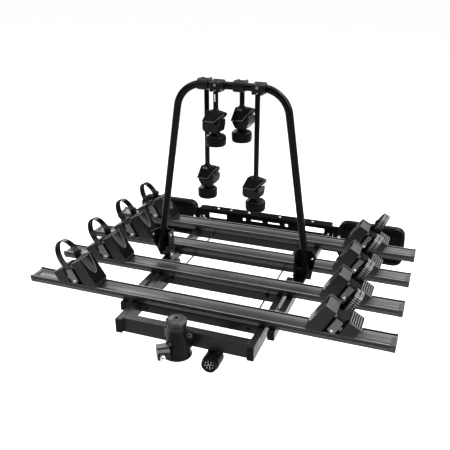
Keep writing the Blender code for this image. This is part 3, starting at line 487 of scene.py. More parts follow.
# --- rails ---------------------------------------------------------------------
def build_rail_caps():
    """Moulded end caps over both ends of every rail."""
    for i in range(1, 5):
        low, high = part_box(f"wheel_rail_{i}")
        y0, y1, z0, z1 = low.y - 0.0006, high.y + 0.0006, low.z - 0.0006, high.z + 0.0006
        shape = Shape()
        for side in (-1, 1):
            end = side * (high.x + 0.0012)
            start = side * (high.x - 0.014)
            outline = [(y0 + 0.005, z0), (y1 - 0.005, z0), (y1, z0 + 0.012), (y1, z1), (y1 - 0.0038, z1),
                       (y1 - 0.0046, z1 - 0.0055), (y0 + 0.0046, z1 - 0.0055), (y0 + 0.0038, z1), (y0, z1),
                       (y0, z0 + 0.012)]
            place = axes((0, 0, 0), (0, 1, 0), (0, 0, 1))
            shape.prism(outline, min(start, end), max(start, end), place)
        shape.done(f"rail_{i}_end_caps", RAIL_CAP, "platform", 0.0012, 3)


def build_rail_lines():
    """Pale strips of painted highlight on the lip tops, and near-black strips of painted shade in the
    grooves beside the gutter and along the walls of every rail.
    """
    for i in range(1, 5):
        low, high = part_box(f"wheel_rail_{i}")
        reach = high.x - 0.0138
        grooves, lips = Shape(), Shape()
        for edge, inward in ((low.y, 1), (high.y, -1)):
            # groove strips are near-black painted shade; lip strips are pale painted highlight
            strips = (
                (grooves, 0.0031, 0.0064, high.z - 0.0076, high.z - 0.0060),
                (grooves, 0.0060, 0.0068, high.z - 0.0076, high.z - 0.0033),
                (grooves, 0.0003, 0.0016, low.z + 0.0195, low.z + 0.0209),
                (grooves, 0.0004, 0.0020, low.z + 0.0142, low.z + 0.0158),
                (lips, 0.0001, 0.0024, high.z - 0.0006, high.z + 0.0002))
            for shape, start, end, z0, z1 in strips:
                y0, y1 = sorted((edge + inward * start, edge + inward * end))
                shape.box((-reach, y0, z0), (reach, y1, z1))
        grooves.done(f"rail_{i}_groove_shade", BLACK_AND_SHADE, "platform", 0)
        lips.done(f"rail_{i}_lip_highlights", LIP_HIGHLIGHT, "platform", 0.0002, 1)


# --- wheel supports --------------------------------------------------------------
LEAN = math.radians(30.3)
PEAK = (0.405, 0.163)
STRAP_MIDDLE, STRAP_HALF = 0.058, 0.012
LOOP_HALF_WIDTH, LOOP_HALF_HEIGHT, LOOP_MIDDLE = 0.042, 0.055, 0.024
TOOTH_PITCH = 0.0068
STEP_COUNT, STEP_START, STEP_PITCH, STEP_WIDTH = 6, 0.0838, 0.0073, 0.0017


def support_frame(side, y):
    """Leaning frame of a support: x out along its top face, y across, z out of that face."""
    cos, sin = math.cos(LEAN), math.sin(LEAN)
    along = Vector((side * cos, 0, -sin))
    up = Vector((side * sin, 0, cos))
    turn = Matrix((along, Vector((0, 1, 0)), up)).transposed().to_4x4()
    return Matrix.Translation((side * PEAK[0], y, PEAK[1])) @ turn


def strap_path():
    """Middle line of the strap across the rail: up the front, over in a loop, down the rear."""
    front = -0.0335
    points = [(front, -0.024), (front, -0.020), (front, -0.016)]
    for i in range(45):
        angle = math.radians(217 - 263 * i / 44)
        points.append((LOOP_HALF_WIDTH * math.cos(angle), LOOP_MIDDLE + LOOP_HALF_HEIGHT * math.sin(angle)))
    return points + [(0.0335, -0.030), (0.0335, -0.045)]


def walk(points, step):
    """Points and directions at equal steps along a line."""
    found = []
    carried = 0.0
    for a, b in zip(points, points[1:]):
        a, b = Vector(a), Vector(b)
        length = (b - a).length
        direction = (b - a) / length
        at = step - carried if found else 0.0
        while at <= length:
            found.append((a + direction * at, direction))
            at += step
        carried = length - (at - step)
    return found


def build_strap(i, label, side, y):
    """Ladder strap: a thin band with two rows of teeth beside a middle rib."""
    body = f"wheel_stop_{i}_{label}"
    place = support_frame(side, y)
    path = strap_path()
    band = Shape(place)
    rings = []
    for k, point in enumerate(path):
        before, after = Vector(path[max(k - 1, 0)]), Vector(path[min(k + 1, len(path) - 1)])
        direction = (after - before).normalized()
        normal = Vector((-direction.y, direction.x))
        ring = []
        for across, thick in ((-STRAP_HALF, -0.0011), (STRAP_HALF, -0.0011), (STRAP_HALF, 0.0008),
                              (0.0011, 0.0008), (0.0009, 0.0019), (-0.0009, 0.0019), (-0.0011, 0.0008),
                              (-STRAP_HALF, 0.0008)):
            spot = Vector(point) + normal * thick
            ring.append((STRAP_MIDDLE + across, spot.x, spot.y))
        rings.append(ring)
    band.loft(rings)
    band.done(f"strap_band_{i}_{label}", STRAP, body, 0.0003, 1, 50)
    # teeth coloured by height: painted highlight higher up on the right, near-black on the left
    teeth = Shape(place)
    for spot, direction in walk(path[2:-6], TOOTH_PITCH):
        normal = Vector((-direction.y, direction.x))
        for n0, n1 in ((0.0470, 0.0562), (0.0598, 0.0690)):
            corners = []
            for along, up in ((-0.0016, 0.0006), (0.0016, 0.0006), (0.0012, 0.0023), (-0.0010, 0.0023)):
                corners.append(spot + direction * along + normal * up)
            ring0 = [(n0, p.x, p.y) for p in corners]
            ring1 = [(n1, p.x, p.y) for p in corners]
            teeth.loft([ring0, ring1])
    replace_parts(teeth.done(f"strap_teeth_{i}_{label}", STRAP_TEETH_LIGHT[label], body, 0), f"wheel_strap_{i}_{label}")
    buckle = Shape(place)
    buckle.box((0.0435, 0.0290, -0.052), (0.0725, 0.0445, -0.006))
    buckle.box((0.0465, 0.0340, -0.012), (0.0695, 0.0430, 0.012))
    buckle.prism(rounded((0.0480, 0.004), (0.0680, 0.020), 0.006, 4), 0.0360, 0.0470,
                 axes((0, 0, 0), (1, 0, 0), (0, 0, 1)) @ Matrix.Diagonal((1, 1, -1, 1)))
    buckle.done(f"ratchet_{i}_{label}", PLASTIC, body, 0.0010)
    lever = Shape(place)
    for k in range(9):
        n = 0.0445 + 0.0030 * k
        lever.box((n, 0.0405, 0.0130), (n + 0.0016, 0.0512, 0.0242))
    lever.box((0.0435, 0.0410, 0.0100), (0.0725, 0.0500, 0.0225))
    lever.done(f"ratchet_lever_{i}_{label}", SUPPORT, body, 0.0004, 1)


def build_support_detail(i, label, side, y):
    """Tongue plate, bolts, top rims, ladder bars, painted slot shadow, a painted-light top pan and a
    wheel-face sheet of painted shade of one support.
    """
    body = f"wheel_stop_{i}_{label}"
    place = support_frame(side, y)
    upright = axes((0, 0, 0), (1, 0, 0), (0, 0, 1))
    tongue = Shape(place)
    tongue.prism(rounded((0.0470, -0.0640), (0.0705, -0.0120), 0.0050, 4), 0.0352, 0.0388, upright)
    tongue.box((0.0712, -0.0356, -0.0420), (0.0790, -0.0315, -0.0300))
    tongue.box((0.0385, -0.0356, -0.0140), (0.0450, -0.0315, -0.0030))
    tongue.done(f"strap_tongue_{i}_{label}", GREY, body, 0.0010)
    bolts = Shape(place)
    bolts.bolt((0.0585, -0.0386, -0.0560), (0, -1, 0), 0.0029, 0.0024)
    bolts.bolt((0.0575, 0.0336, -0.0545), (0, 1, 0), 0.0029, 0.0024)
    bolts.done(f"support_bolts_{i}_{label}", STEEL, body, 0)
    trim = Shape(place)
    for y0, y1 in ((-0.0354, -0.0336), (0.0336, 0.0354)):
        trim.box((0.0010, y0, -0.0015), (0.0368, y1, 0.0014))
        trim.box((0.0830, y0, -0.0015), (0.1215, y1, 0.0010))
    trim.box((0.0352, -0.0340, -0.0016), (0.0370, 0.0340, 0.0014))
    trim.done(f"support_rims_{i}_{label}", GREY, body, 0.0004, 1)
    steps = Shape(place)
    for k in range(STEP_COUNT):
        start = STEP_START + STEP_PITCH * k
        steps.box((start, -0.0320, -0.0012), (start + STEP_WIDTH, 0.0320, 0.0008))
    steps.done(f"support_steps_{i}_{label}", STEP, body, 0.0004, 1)
    # paler panel on the top face: painted light from above
    pan = Shape(place)
    pan.box((0.0040, -0.0305, -0.0040), (0.0340, 0.0305, -0.0022))
    pan.done(f"support_pan_{i}_{label}", PAN, body, 0.0003, 1)
    # near-black boxes of painted shade in the ladder slots, the recess and down its sides
    slot_shade = Shape(place)
    slot_shade.box((0.0866, -0.0300, -0.0098), (0.1196, 0.0300, -0.0060))
    slot_shade.box((0.0375, -0.0258, -0.0200), (0.0450, 0.0258, -0.0175))
    for y0, y1 in ((-0.0264, -0.0259), (0.0259, 0.0264)):
        slot_shade.box((0.0383, y0, -0.0790), (0.0817, y1, -0.0010))
    slot_shade.done(f"support_shadow_{i}_{label}", BLACK_AND_SHADE, body, 0)
    # sheet over the wheel face coloured as painted shade, paler at the top on the right as painted
    # reflection
    face = place @ axes((0, 0, 0), (0, 1, 0), (0.0595, 0, 0.9982))
    leaf = []
    for k in range(13):
        down = 0.0640 * math.sin(math.pi / 2 * k / 12)
        reach = math.sqrt(max(0.0245 ** 2 - (0.938 * (0.0062 + 0.3104 * down)) ** 2, 0.0))
        leaf.append((reach + 0.0005, -down))
    leaf += [(-x, v) for x, v in reversed(leaf[:-1])]
    shade_sheet = Shape(face)
    outline = [(-0.0346, -0.0010), (-0.0346, -0.0970), (0.0346, -0.0970), (0.0346, -0.0010)]
    shade_sheet.prism(outline + leaf, -0.0010, 0.0002)
    shade_sheet.done(f"wheel_face_{i}_{label}", WHEEL_FACE_LIGHT[label], body, 0)
    rim = Shape(face)
    rim.tube([(x, v, -0.0008) for x, v in leaf], 0.0010, 10)
    rim.done(f"scoop_rim_{i}_{label}", GREY, body, 0)


def build_wheel_stops():
    for i in range(1, 5):
        y = middle(f"wheel_rail_{i}").y
        for label, side in SIDES:
            build_strap(i, label, side, y)
            build_support_detail(i, label, side, y)


# --- hoop and its brackets --------------------------------------------------------
HOOP_Y, HOOP_TOP = 0.468, 0.693
HOOP_TOP_X, HOOP_SLOPE, HOOP_CORNER = 0.179, 0.153, 0.092
HOOP_RADIUS, SLEEVE_RADIUS, SLEEVE_TOP = 0.0125, 0.0138, 0.166


def leg_x(height):
    return HOOP_TOP_X + HOOP_SLOPE * (HOOP_TOP - height)


def build_hoop():
    lean = math.atan(HOOP_SLOPE)
    turn = math.pi / 2 - lean
    tangent = HOOP_CORNER * math.tan(turn / 2)
    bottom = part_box("hoop")[0].z + 0.0015
    half = [(leg_x(bottom), bottom), (leg_x(0.3), 0.3), (leg_x(0.55), 0.55)]
    centre = (HOOP_TOP_X - tangent, HOOP_TOP - HOOP_CORNER)
    half += arc(centre, HOOP_CORNER, math.degrees(lean), 90, 30)
    points = [(x, HOOP_Y, z) for x, z in half] + [(-x, HOOP_Y, z) for x, z in reversed(half)]
    shape = Shape()
    shape.tube(points, HOOP_RADIUS, 40)
    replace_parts(shape.done("hoop_tube", HOOP_COAT, "hoop", 0), "hoop")
    sleeves = Shape()
    for side in (-1, 1):
        low = Vector((side * leg_x(bottom), HOOP_Y, bottom))
        high = Vector((side * leg_x(SLEEVE_TOP), HOOP_Y, SLEEVE_TOP))
        sleeves.tube([low, low.lerp(high, 0.5), high], SLEEVE_RADIUS, 32)
    sleeves.done("hoop_sleeves", PLASTIC, "hoop", 0.0008)


def build_bracket_bolts():
    bolts = Shape()
    for side in (-1, 1):
        bolts.bolt((side * 0.2950, 0.4515, 0.140), (side * 0.35, -0.9, 0.0), 0.0036, 0.0028)
        for z in (0.1400, 0.0640):
            bolts.hex_bolt((side * 0.2313, 0.4600, z), (-side, 0, 0), 0.0040, 0.0036)
    bolts.done("bracket_bolts", STEEL, "platform", 0)


# --- frame arms --------------------------------------------------------------------
# name, x, side of the hoop, claw's top, upper jaw's height, wide mouth
ARMS = (
    ("arm_1", -0.098, 1, 0.411, 0.045, False),
    ("arm_2", -0.0445, -1, 0.616, 0.036, True),
    ("arm_3", 0.0248, 1, 0.6215, 0.045, False),
    ("arm_4", 0.0945, -1, 0.408, 0.038, True),
)
ROD_OFFSET, CLAW_TURN = 0.028, math.radians(-12)


def claw_place(x, side, height):
    return (Matrix.Translation((x, HOOP_Y + side * ROD_OFFSET, height))
            @ Matrix.Rotation(CLAW_TURN, 4, "Z"))


def build_collar(name, x, side, top):
    """Clamp collar round the hoop's top bar, its bolts and the hanging rod."""
    rod_y = HOOP_Y + side * ROD_OFFSET
    rod = Shape()
    rod.lathe([(0.0083, top - 0.010), (0.0083, HOOP_TOP + 0.008), (0.0070, HOOP_TOP + 0.0105)],
              Matrix.Translation((x, rod_y, 0)), 32)
    rod.done(name + "_round_rod", HOOP_COAT, name, 0)
    along = axes((x, HOOP_Y, HOOP_TOP), (0, 1, 0), (0, 0, 1))
    band = Shape(along)
    band.lathe([(0.0128, -0.0185), (0.0172, -0.0185), (0.0186, -0.0170), (0.0186, 0.0170),
                (0.0172, 0.0185), (0.0128, 0.0185)], None, 40)
    y0, y1 = sorted((0.0, side * 0.0390))
    cheek = rounded((y0, -0.0165), (y1, 0.0165), 0.0060, 5)
    for low, high in ((-0.0175, -0.0100), (0.0100, 0.0175)):
        band.prism(cheek, low, high)
    band.prism(rounded((y0, -0.0140), (y1 - side * 0.002, 0.0140), 0.0050, 5) if side > 0
               else rounded((y0 + 0.002, -0.0140), (y1, 0.0140), 0.0050, 5), -0.0110, 0.0110)
    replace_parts(band.done(name + "_collar", CLAW, name, 0.0010, 2, 40), name + "_rod")
    bolts = Shape()
    face = HOOP_Y + side * 0.0385
    bolts.bolt((x, face, HOOP_TOP + 0.0070), (0, side, 0.0), 0.0036, 0.0026)
    bolts.bolt((x + 0.0005, face, HOOP_TOP - 0.0100), (0, side, 0.0), 0.0024, 0.0020)
    bolts.done(name + "_collar_bolts", DARK_STEEL, name, 0)
    if name == "arm_2":
        clip = Shape()
        clip.box((x - 0.0022, rod_y - 0.0092, HOOP_TOP - 0.046),
                 (x + 0.0022, rod_y - 0.0080, HOOP_TOP - 0.022))
        clip.done("arm_2_stop_strip", STEEL, name, 0.0004, 1)


def claw_section(low, crease, high, front, rear, top_front, top_rear):
    """Six corners round one section of the upper jaw; places are (x, z) pairs, depths along y."""
    return [(low[0], front, low[1]), (low[0], rear, low[1]), (crease[0], rear, crease[1]),
            (high[0], top_rear, high[1]), (high[0], top_front, high[1]), (crease[0], front, crease[1])]


def build_claw(name, x, side, top, height, wide):
    """Upper jaw: a tapered hood with a proud crease over the mouth, a pale bead of painted highlight along
    the crease, its socket, pad and stud.
    """
    place = claw_place(x, side, top)
    hood = Shape(place)
    if wide:
        lows = ((-0.0372, -height), (-0.012, -height), (0.0068, -height), (0.0268, -0.0170))
        creases = ((-0.0392, -height + 0.0030), (-0.012, -height + 0.0035), (0.0082, -height + 0.0045),
                   (0.0285, -0.0080))
        highs = ((-0.0250, -0.0008), (-0.008, 0.0), (0.0100, 0.0), (0.0270, -0.0040))
        tip_front = 0.0050
    else:
        lows = ((-0.0265, -height), (-0.005, -height), (0.0140, -height), (0.0352, -0.0165))
        creases = ((-0.0287, -height + 0.0030), (-0.005, -height + 0.0040), (0.0156, -height + 0.0055),
                   (0.0350, -0.0050))
        highs = ((-0.0180, -0.0008), (0.0, 0.0), (0.0180, 0.0), (0.0345, -0.0018))
        tip_front = 0.0020
    depths = [(-0.0245, 0.0245, -0.0130, 0.0130)] * 3 + [(tip_front, 0.0240, tip_front + 0.002, 0.0150)]
    hood.loft([claw_section(a, b, c, *d) for a, b, c, d in zip(lows, creases, highs, depths)])
    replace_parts(hood.done(name + "_hood", CLAW, name + "_claw", 0.0014, 3, 18), name + "_claw")
    # thin pale bars along both crease lines: a painted highlight
    highlight_bead = Shape(place)
    highlight_bead.tube([(cx, d[0] - 0.0001, cz) for (cx, cz), d in zip(creases, depths)], 0.0009, 8)
    highlight_bead.tube([(cx, d[1] + 0.0001, cz) for (cx, cz), d in zip(creases, depths)], 0.0009, 8)
    highlight_bead.done(name + "_crease", CREASE_HIGHLIGHT, name + "_claw", 0)
    trim = Shape(place)
    trim.lathe([(0.0115, -0.004), (0.0115, 0.0015), (0.0100, 0.0040), (0.0088, 0.0075)], None, 28)
    trim.done(name + "_socket", CLAW, name + "_claw", 0.0005)
    if not wide:
        plate = Shape(place)
        plate.box((-0.0095, -0.0158, -0.0095), (0.0090, -0.0134, -0.0030))
        plate.done(name + "_maker_blank", GREY, name + "_claw", 0.0006)
    stud = Shape(place)
    stud.lathe([(0.0048, -0.0925), (0.0048, -0.0440)], None, 20)
    for k in range(16):
        z = -0.0500 - 0.0015 * k
        stud.lathe([(0.0046, z - 0.0005), (0.0052, z), (0.0046, z + 0.0005)], None, 20)
    stud.done(name + "_stud", STEEL, name + "_claw", 0)
    (x0, z0), (x1, z1) = lows[2], lows[3]
    pad = Shape(place @ axes((0, 0, 0), (1, 0, 0), (0, 0, 1)))
    outline = [(x0, z0 + 0.0030), (x0 + 0.0010, z0 - 0.0004), (x1 + 0.0004, z1 - 0.0008),
               (x1 - 0.0010, z1 + 0.0040)]
    pad.prism(outline, -0.0205, 0.0020)
    pad.done(name + "_upper_pad", PAD, name + "_claw", 0.0005)


def build_jaw(name, x, side, top, height, wide):
    """Lower jaw with its hooked end and rubber pad."""
    place = claw_place(x, side, top - height)
    drop = height - 0.068
    body = Shape(place @ axes((0, 0, 0), (1, 0, 0), (0, 0, 1)))
    if wide:
        outline = [(-0.0370, -0.0006), (-0.0390, -0.0045), (-0.0390, drop + 0.0075),
                   (-0.0305, drop - 0.0003), (0.0130, drop - 0.0003), (0.0180, drop + 0.0035),
                   (0.0222, -0.0120), (0.0232, 0.0000), (0.0226, 0.0095), (0.0200, 0.0098),
                   (0.0195, 0.0035), (0.0180, -0.0035), (0.0150, -0.0070), (0.0095, -0.0065),
                   (0.0075, -0.0006)]
    else:
        outline = [(-0.0250, -0.0006), (-0.0222, -0.0090), (-0.0125, drop - 0.0003),
                   (0.0200, drop - 0.0003), (0.0348, -0.0060), (0.0380, 0.0080), (0.0370, 0.0190),
                   (0.0332, 0.0210), (0.0250, 0.0095), (0.0150, -0.0006)]
    body.prism(outline, -0.0222, 0.0222)
    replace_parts(body.done(name + "_lower_jaw", CLAW, name + "_jaw", 0.0016, 3, 25), name + "_jaw")
    pad = Shape(place @ axes((0, 0, 0), (1, 0, 0), (0, 0, 1)))
    if wide:
        outline = [(0.0092, -0.0080), (0.0150, -0.0085), (0.0192, -0.0045), (0.0206, 0.0030),
                   (0.0208, 0.0090), (0.0192, 0.0090), (0.0186, 0.0035), (0.0170, -0.0026),
                   (0.0147, -0.0058), (0.0102, -0.0054)]
    else:
        outline = [(0.0165, -0.0005), (0.0245, 0.0070), (0.0320, 0.0180), (0.0345, 0.0205),
                   (0.0330, 0.0218), (0.0250, 0.0107), (0.0165, 0.0013)]
    pad.prism(outline, -0.0190, 0.0190)
    pad.done(name + "_lower_pad", PAD, name + "_jaw", 0.0004)


def build_knob(name, x, side, top):
    """Fluted hand knob with a chamfered shoulder and a short hub."""
    place = claw_place(x, side, top - 0.0683)
    knob = Shape(place)
    flutes, fine = 20, 6
    profile = [(0.0240, -0.0458, 0.0), (0.0300, -0.0448, 0.0), (0.0325, -0.0415, 0.5),
               (0.0336, -0.0375, 1.0), (0.0340, -0.0180, 1.0), (0.0330, -0.0140, 0.6),
               (0.0290, -0.0102, 0.0), (0.0190, -0.0088, 0.0), (0.0165, -0.0070, 0.0),
               (0.0130, -0.0005, 0.0)]
    rings = []
    for radius, z, depth in profile:
        ring = []
        for k in range(flutes * fine):
            angle = math.tau * k / (flutes * fine)
            dip = 0.0009 * depth * (0.5 + 0.5 * math.cos(flutes * angle)) ** 3
            r = radius - dip
            ring.append((r * math.cos(angle), r * math.sin(angle), z))
        rings.append(ring)
    knob.loft(rings)
    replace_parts(knob.done(name + "_grip", KNOB, name + "_knob", 0.0004, 1, 45), name + "_knob")


def build_arms():
    for name, x, side, top, height, wide in ARMS:
        build_collar(name, x, side, top)
        build_claw(name, x, side, top, height, wide)
        build_jaw(name, x, side, top, height, wide)
        build_knob(name, x, side, top)


# --- coupling ---------------------------------------------------------------------
def lobed(levels, lobes, fine):
    """Rings of a lobed turning; levels are (radius, z, swing, wave)."""
    count = lobes * fine
    rings = []
    for radius, z, swing, wave in levels:
        ring = []
        for k in range(count):
            angle = math.tau * k / count
            swell = math.cos(lobes * angle)
            r = radius + swing * swell
            ring.append((r * math.cos(angle), r * math.sin(angle), z - wave * swell))
        rings.append(ring)
    return rings


CLAMP = Matrix.Translation((-0.0152, -0.0550, 0)) @ Matrix.Rotation(math.radians(34), 4, "Z")
BALL_X, BALL_Z, BALL_RADIUS = -0.0065, 0.0135, 0.0085


def build_coupling_cap():
    """Clamping cap: a dark faceted skirt under a paler lobed disc with a centre hole."""
    skirt = Shape()
    levels = ((0.0276, 0.0778, 0.0, 0.0008), (0.0286, 0.0785, 0.0004, 0.0008),
              (0.0300, 0.0940, 0.0006, 0.0), (0.0303, 0.0990, 0.0006, 0.0), (0.0280, 0.1010, 0.0, 0.0))
    skirt.loft(lobed(levels, 12, 4))
    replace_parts(skirt.done("coupling_cap_skirt", SKIRT, "coupling_cap", 0), "coupling_knob")
    disc = Shape()
    levels = ((0.0296, 0.0988, 0.0008, 0.0012), (0.0318, 0.0998, 0.0013, 0.0014),
              (0.0324, 0.1020, 0.0013, 0.0010), (0.0312, 0.1048, 0.0012, 0.0006),
              (0.0285, 0.1072, 0.0008, 0.0002), (0.0230, 0.1094, 0.0, 0.0), (0.0222, 0.1090, 0.0, 0.0),
              (0.0140, 0.1112, 0.0, 0.0), (0.0078, 0.1120, 0.0, 0.0), (0.0062, 0.1115, 0.0, 0.0),
              (0.0060, 0.1030, 0.0, 0.0))
    disc.loft(lobed(levels, 8, 8))
    disc.done("coupling_cap_disc", CAP_DISC, "coupling_cap", 0)


def build_coupling_trim():
    """Rings of the bell, the clamp block's top plate and lever, its ball-headed pin, pads and bolt."""
    body = Shape()
    foot = [(0.0415, -0.0122), (0.0430, -0.0122), (0.0436, -0.0105), (0.0428, -0.0075), (0.0410, -0.0080)]
    neck = [(0.0255, 0.0725), (0.0274, 0.0725), (0.0282, 0.0745), (0.0276, 0.0768), (0.0255, 0.0768)]
    for profile in (foot, neck):
        body.ring(profile, None, 64)
    body.done("coupling_rings", BELL_COAT, "fixed_frame", 0)
    plates = Shape(CLAMP)
    plates.prism([(-0.0212, 0.0118), (0.0167, 0.0118), (0.0167, 0.0150), (0.0110, 0.0220), (0.0080, 0.0342),
                  (-0.0212, 0.0342)], 0.0326, 0.0338)
    plates.done("clamp_top_plate", GREY, "fixed_frame", 0.0006)
    lever = Shape(CLAMP)
    outline = [(-0.0206, -0.0015), (0.0162, -0.0015), (0.0162, 0.0120), (0.0090, 0.0195),
               (-0.0206, 0.0195)]
    lever.prism(outline, 0.0225, 0.0282)
    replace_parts(lever.done("coupling_lever_plate", GREY, "coupling_latch", 0.0010), "coupling_lever")
    ball = Shape(CLAMP)
    ball.lathe([(0.0062, 0.0), (0.0062, 0.0045), (0.0054, 0.0060)],
               facing((BALL_X, -0.0004, BALL_Z), (0, -1, 0)), 24)
    angles = [math.pi * k / 14 for k in range(1, 14)]
    rows = [(BALL_RADIUS * math.sin(a), -BALL_RADIUS * math.cos(a)) for a in angles]
    ball.lathe(rows, facing((BALL_X, -0.0110, BALL_Z), (0, -1, 0)), 28)
    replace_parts(ball.done("coupling_ball_grip", STEEL, "fixed_frame", 0), "coupling_pin")
    pad = Shape()
    pad.box((-0.0355, -0.0094, 0.0450), (-0.0262, -0.0078, 0.0735))
    pad.ring([(0.0046, 0.0), (0.0070, 0.0), (0.0068, 0.0012), (0.0048, 0.0012)],
             facing((0.042, -0.0050, 0.064), (0, -1, 0)), 28)
    pad.done("coupling_pads", GREY, "fixed_frame", 0.0003, 1)
    bolts = Shape()
    bolts.hex_bolt((-0.0073, -0.0335, 0.0400), (-0.21, -0.97, 0.0), 0.0034, 0.0026)
    bolts.done("coupling_bolts", DARK_STEEL, "fixed_frame", 0)


def build_plug_detail():
    """Contact insert with its 13 pins, and the ribbed collar of the parked plug."""
    low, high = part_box("plug")
    x, z = (low.x + high.x) / 2, (low.z + high.z) / 2
    face = low.y + 0.0079
    insert = Shape()
    insert.lathe([(0.0168, -0.004), (0.0168, 0.0022), (0.0160, 0.0030)],
                 facing((x, face, z), (0, -1, 0)), 36)
    insert.done("plug_insert", BLACK_AND_SHADE, "fixed_frame", 0.0004)
    pins = Shape()
    spots = [(0.0, 0.0)]
    for reach, count, start in ((0.0062, 4, 0.4), (0.0128, 8, 0.2)):
        angles = [start + math.tau * k / count for k in range(count)]
        spots += [(reach * math.cos(a), reach * math.sin(a)) for a in angles]
    for dx, dz in spots:
        pins.lathe([(0.0015, -0.0030), (0.0015, 0.0014), (0.0009, 0.0021)],
                   facing((x + dx, face - 0.0036, z + dz), (0, -1, 0)), 12)
    pins.done("plug_pins", PIN, "fixed_frame", 0)
    ribs = Shape()
    for k in range(28):
        angle = math.tau * k / 28
        place = facing((x, low.y + 0.0125, z), (0, -1, 0)) @ Matrix.Rotation(angle, 4, "Z")
        ribs.box((0.0222, -0.0009, -0.0105), (0.0236, 0.0009, 0.0105), place)
    profile = [(0.0180, -0.0015), (0.0225, -0.0020), (0.0240, -0.0005), (0.0240, 0.0015),
               (0.0222, 0.0026), (0.0180, 0.0022)]
    ribs.ring(profile, facing((x, low.y + 0.0020, z), (0, -1, 0)), 48)
    ribs.done("plug_ribs", PLASTIC, "fixed_frame", 0.0003, 1)


# --- light board -------------------------------------------------------------------
def build_board_detail():
    """Bolts, pressed folds and wire clips of the number plate panel."""
    low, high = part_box("number_plate_panel")
    face = high.y - 0.003
    bolts = Shape()
    for x in (-0.198, -0.141, -0.063, 0.068, 0.203):
        bolts.bolt((x, 0.8615, high.z), (0, 0, 1), 0.0042, 0.0028)
    for x, z in ((-0.273, 0.046), (-0.2645, 0.0355), (0.2633, 0.044), (0.2549, 0.035)):
        bolts.bolt((x, face, z), (0, -1, 0), 0.0034, 0.0026)
    bolts.done("board_bolts", STEEL, "platform", 0)
    ear = Shape()
    for side in (-1, 1):
        ear.bolt((side * 0.3100, 0.8668, 0.0455), (0, -1, 0), 0.0040, 0.0030)
    ear.done("lamp_bolts", STEEL, "platform", 0)
    folds = Shape()
    for z0, z1 in ((0.0725, 0.0755), (0.0305, 0.0325), (0.0020, 0.0040)):
        folds.box((low.x + 0.012, face - 0.0022, z0), (high.x - 0.012, face + 0.001, z1))
    folds.box((low.x + 0.025, face - 0.0100, high.z - 0.010),
              (high.x - 0.025, face - 0.0085, high.z - 0.001))
    folds.done("board_folds", PANEL_COAT, "platform", 0.0006)
    clips = Shape()
    for side in (-1, 1):
        clips.tube([(side * 0.284, face - 0.002, 0.052), (side * 0.2845, face - 0.008, 0.050),
                    (side * 0.2835, face - 0.009, 0.040), (side * 0.285, face - 0.002, 0.034)], 0.0012, 10)
    clips.done("board_clips", STEEL, "platform", 0)


def build_lamp_detail(label, side):
    """Rim and ribbed back of a tail lamp, and the amber and clear fields of its lens."""
    low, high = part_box(f"tail_lamp_{label}")
    x0, x1 = sorted((side * 0.304, side * 0.561))
    z0, z1 = low.z, high.z
    rim = Shape()
    front = low.y
    place = axes((0, 0, 0), (1, 0, 0), (0, 0, 1))
    rows = ((0.0000, 0.0000, 0.034), (0.0000, -0.0020, 0.034), (0.0030, -0.0042, 0.031),
            (0.0080, -0.0042, 0.026), (0.0108, -0.0018, 0.0232), (0.0112, 0.0060, 0.0228))
    rings = []
    for inset, depth, radius in rows:
        outline = rounded((x0 + inset, z0 + inset), (x1 - inset, z1 - inset), radius, 8)
        rings.append([(x, front + 0.004 + depth, z) for x, z in outline])
    rings.append([(x, front + 0.010, z) for x, z in rounded((x0, z0), (x1, z1), 0.034, 8)])
    rim.loft(rings, None, True)
    rim.done(f"lamp_rim_{label}", PLASTIC, "platform", 0)
    grooves = Shape()
    for k in range(6):
        z = z0 + 0.030 + 0.0160 * k
        grooves.box((x0 + 0.022, front + 0.0085, z), (x1 - 0.022, front + 0.0125, z + 0.0040))
    grooves.prism(rounded((x0 + 0.016, z0 + 0.016), (x1 - 0.016, z1 - 0.016), 0.018, 6),
                  -(front + 0.0125), -(front + 0.0105), place)
    grooves.done(f"lamp_back_ribs_{label}", PANEL_COAT, "platform", 0.0008)
    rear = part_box(f"lamp_lens_{label}")[1].y
    split = (x0 + x1) / 2
    outer = (x0 + 0.008, x0 + 0.078) if side < 0 else (x1 - 0.078, x1 - 0.008)
    parts = (("amber", AMBER, *outer), ("clear", CLEAR, split - 0.026, split + 0.026))
    for tint, material, a, b in parts:
        cover = Shape()
        outline = rounded((a, z0 + 0.012), (b, z1 - 0.012), 0.010, 5)
        cover.prism(outline, -(rear + 0.0025), -(rear - 0.002), place)
        cover.done(f"lamp_{tint}_{label}", material, "platform", 0.0010)


# --- frame detail ---------------------------------------------------------------------
def build_frame_detail():
    """Latch bolts and cables, and the weld beads where the cross tubes meet the side arms."""
    bolts = Shape()
    cable = Shape()
    for side in (-1, 1):
        for y in (0.300, 0.255):
            bolts.hex_bolt((side * 0.2262, y, 0.018), (side, 0, 0), 0.0050, 0.0045)
        run = [(side * 0.173, 0.256, 0.0345), (side * 0.178, 0.240, 0.036), (side * 0.190, 0.232, 0.036),
               (side * 0.202, 0.240, 0.030)]
        cable.tube(run, 0.0016, 10)
    bolts.done("latch_bolts", STEEL, "fixed_frame", 0)
    cable.done("latch_cables", STRAP, "platform", 0)
    welds = Shape()
    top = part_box("base_frame")[1].z
    for side in (-1, 1):
        x = side * 0.2045
        for y in (0.0455, 0.0725, 0.1425, 0.1755, 0.3425, 0.3755):
            points = [(x, y, z) for z in (0.014, 0.020, 0.026, 0.032, 0.0405)]
            welds.tube(points, 0.0016, 8)
        for y0, y1 in ((0.045, 0.073), (0.142, 0.176), (0.342, 0.376)):
            points = [(x, y0 + (y1 - y0) * k / 6, top - 0.0004) for k in range(7)]
            welds.tube(points, 0.0014, 8)
    welds.done("weld_beads", POWDER, "fixed_frame", 0)


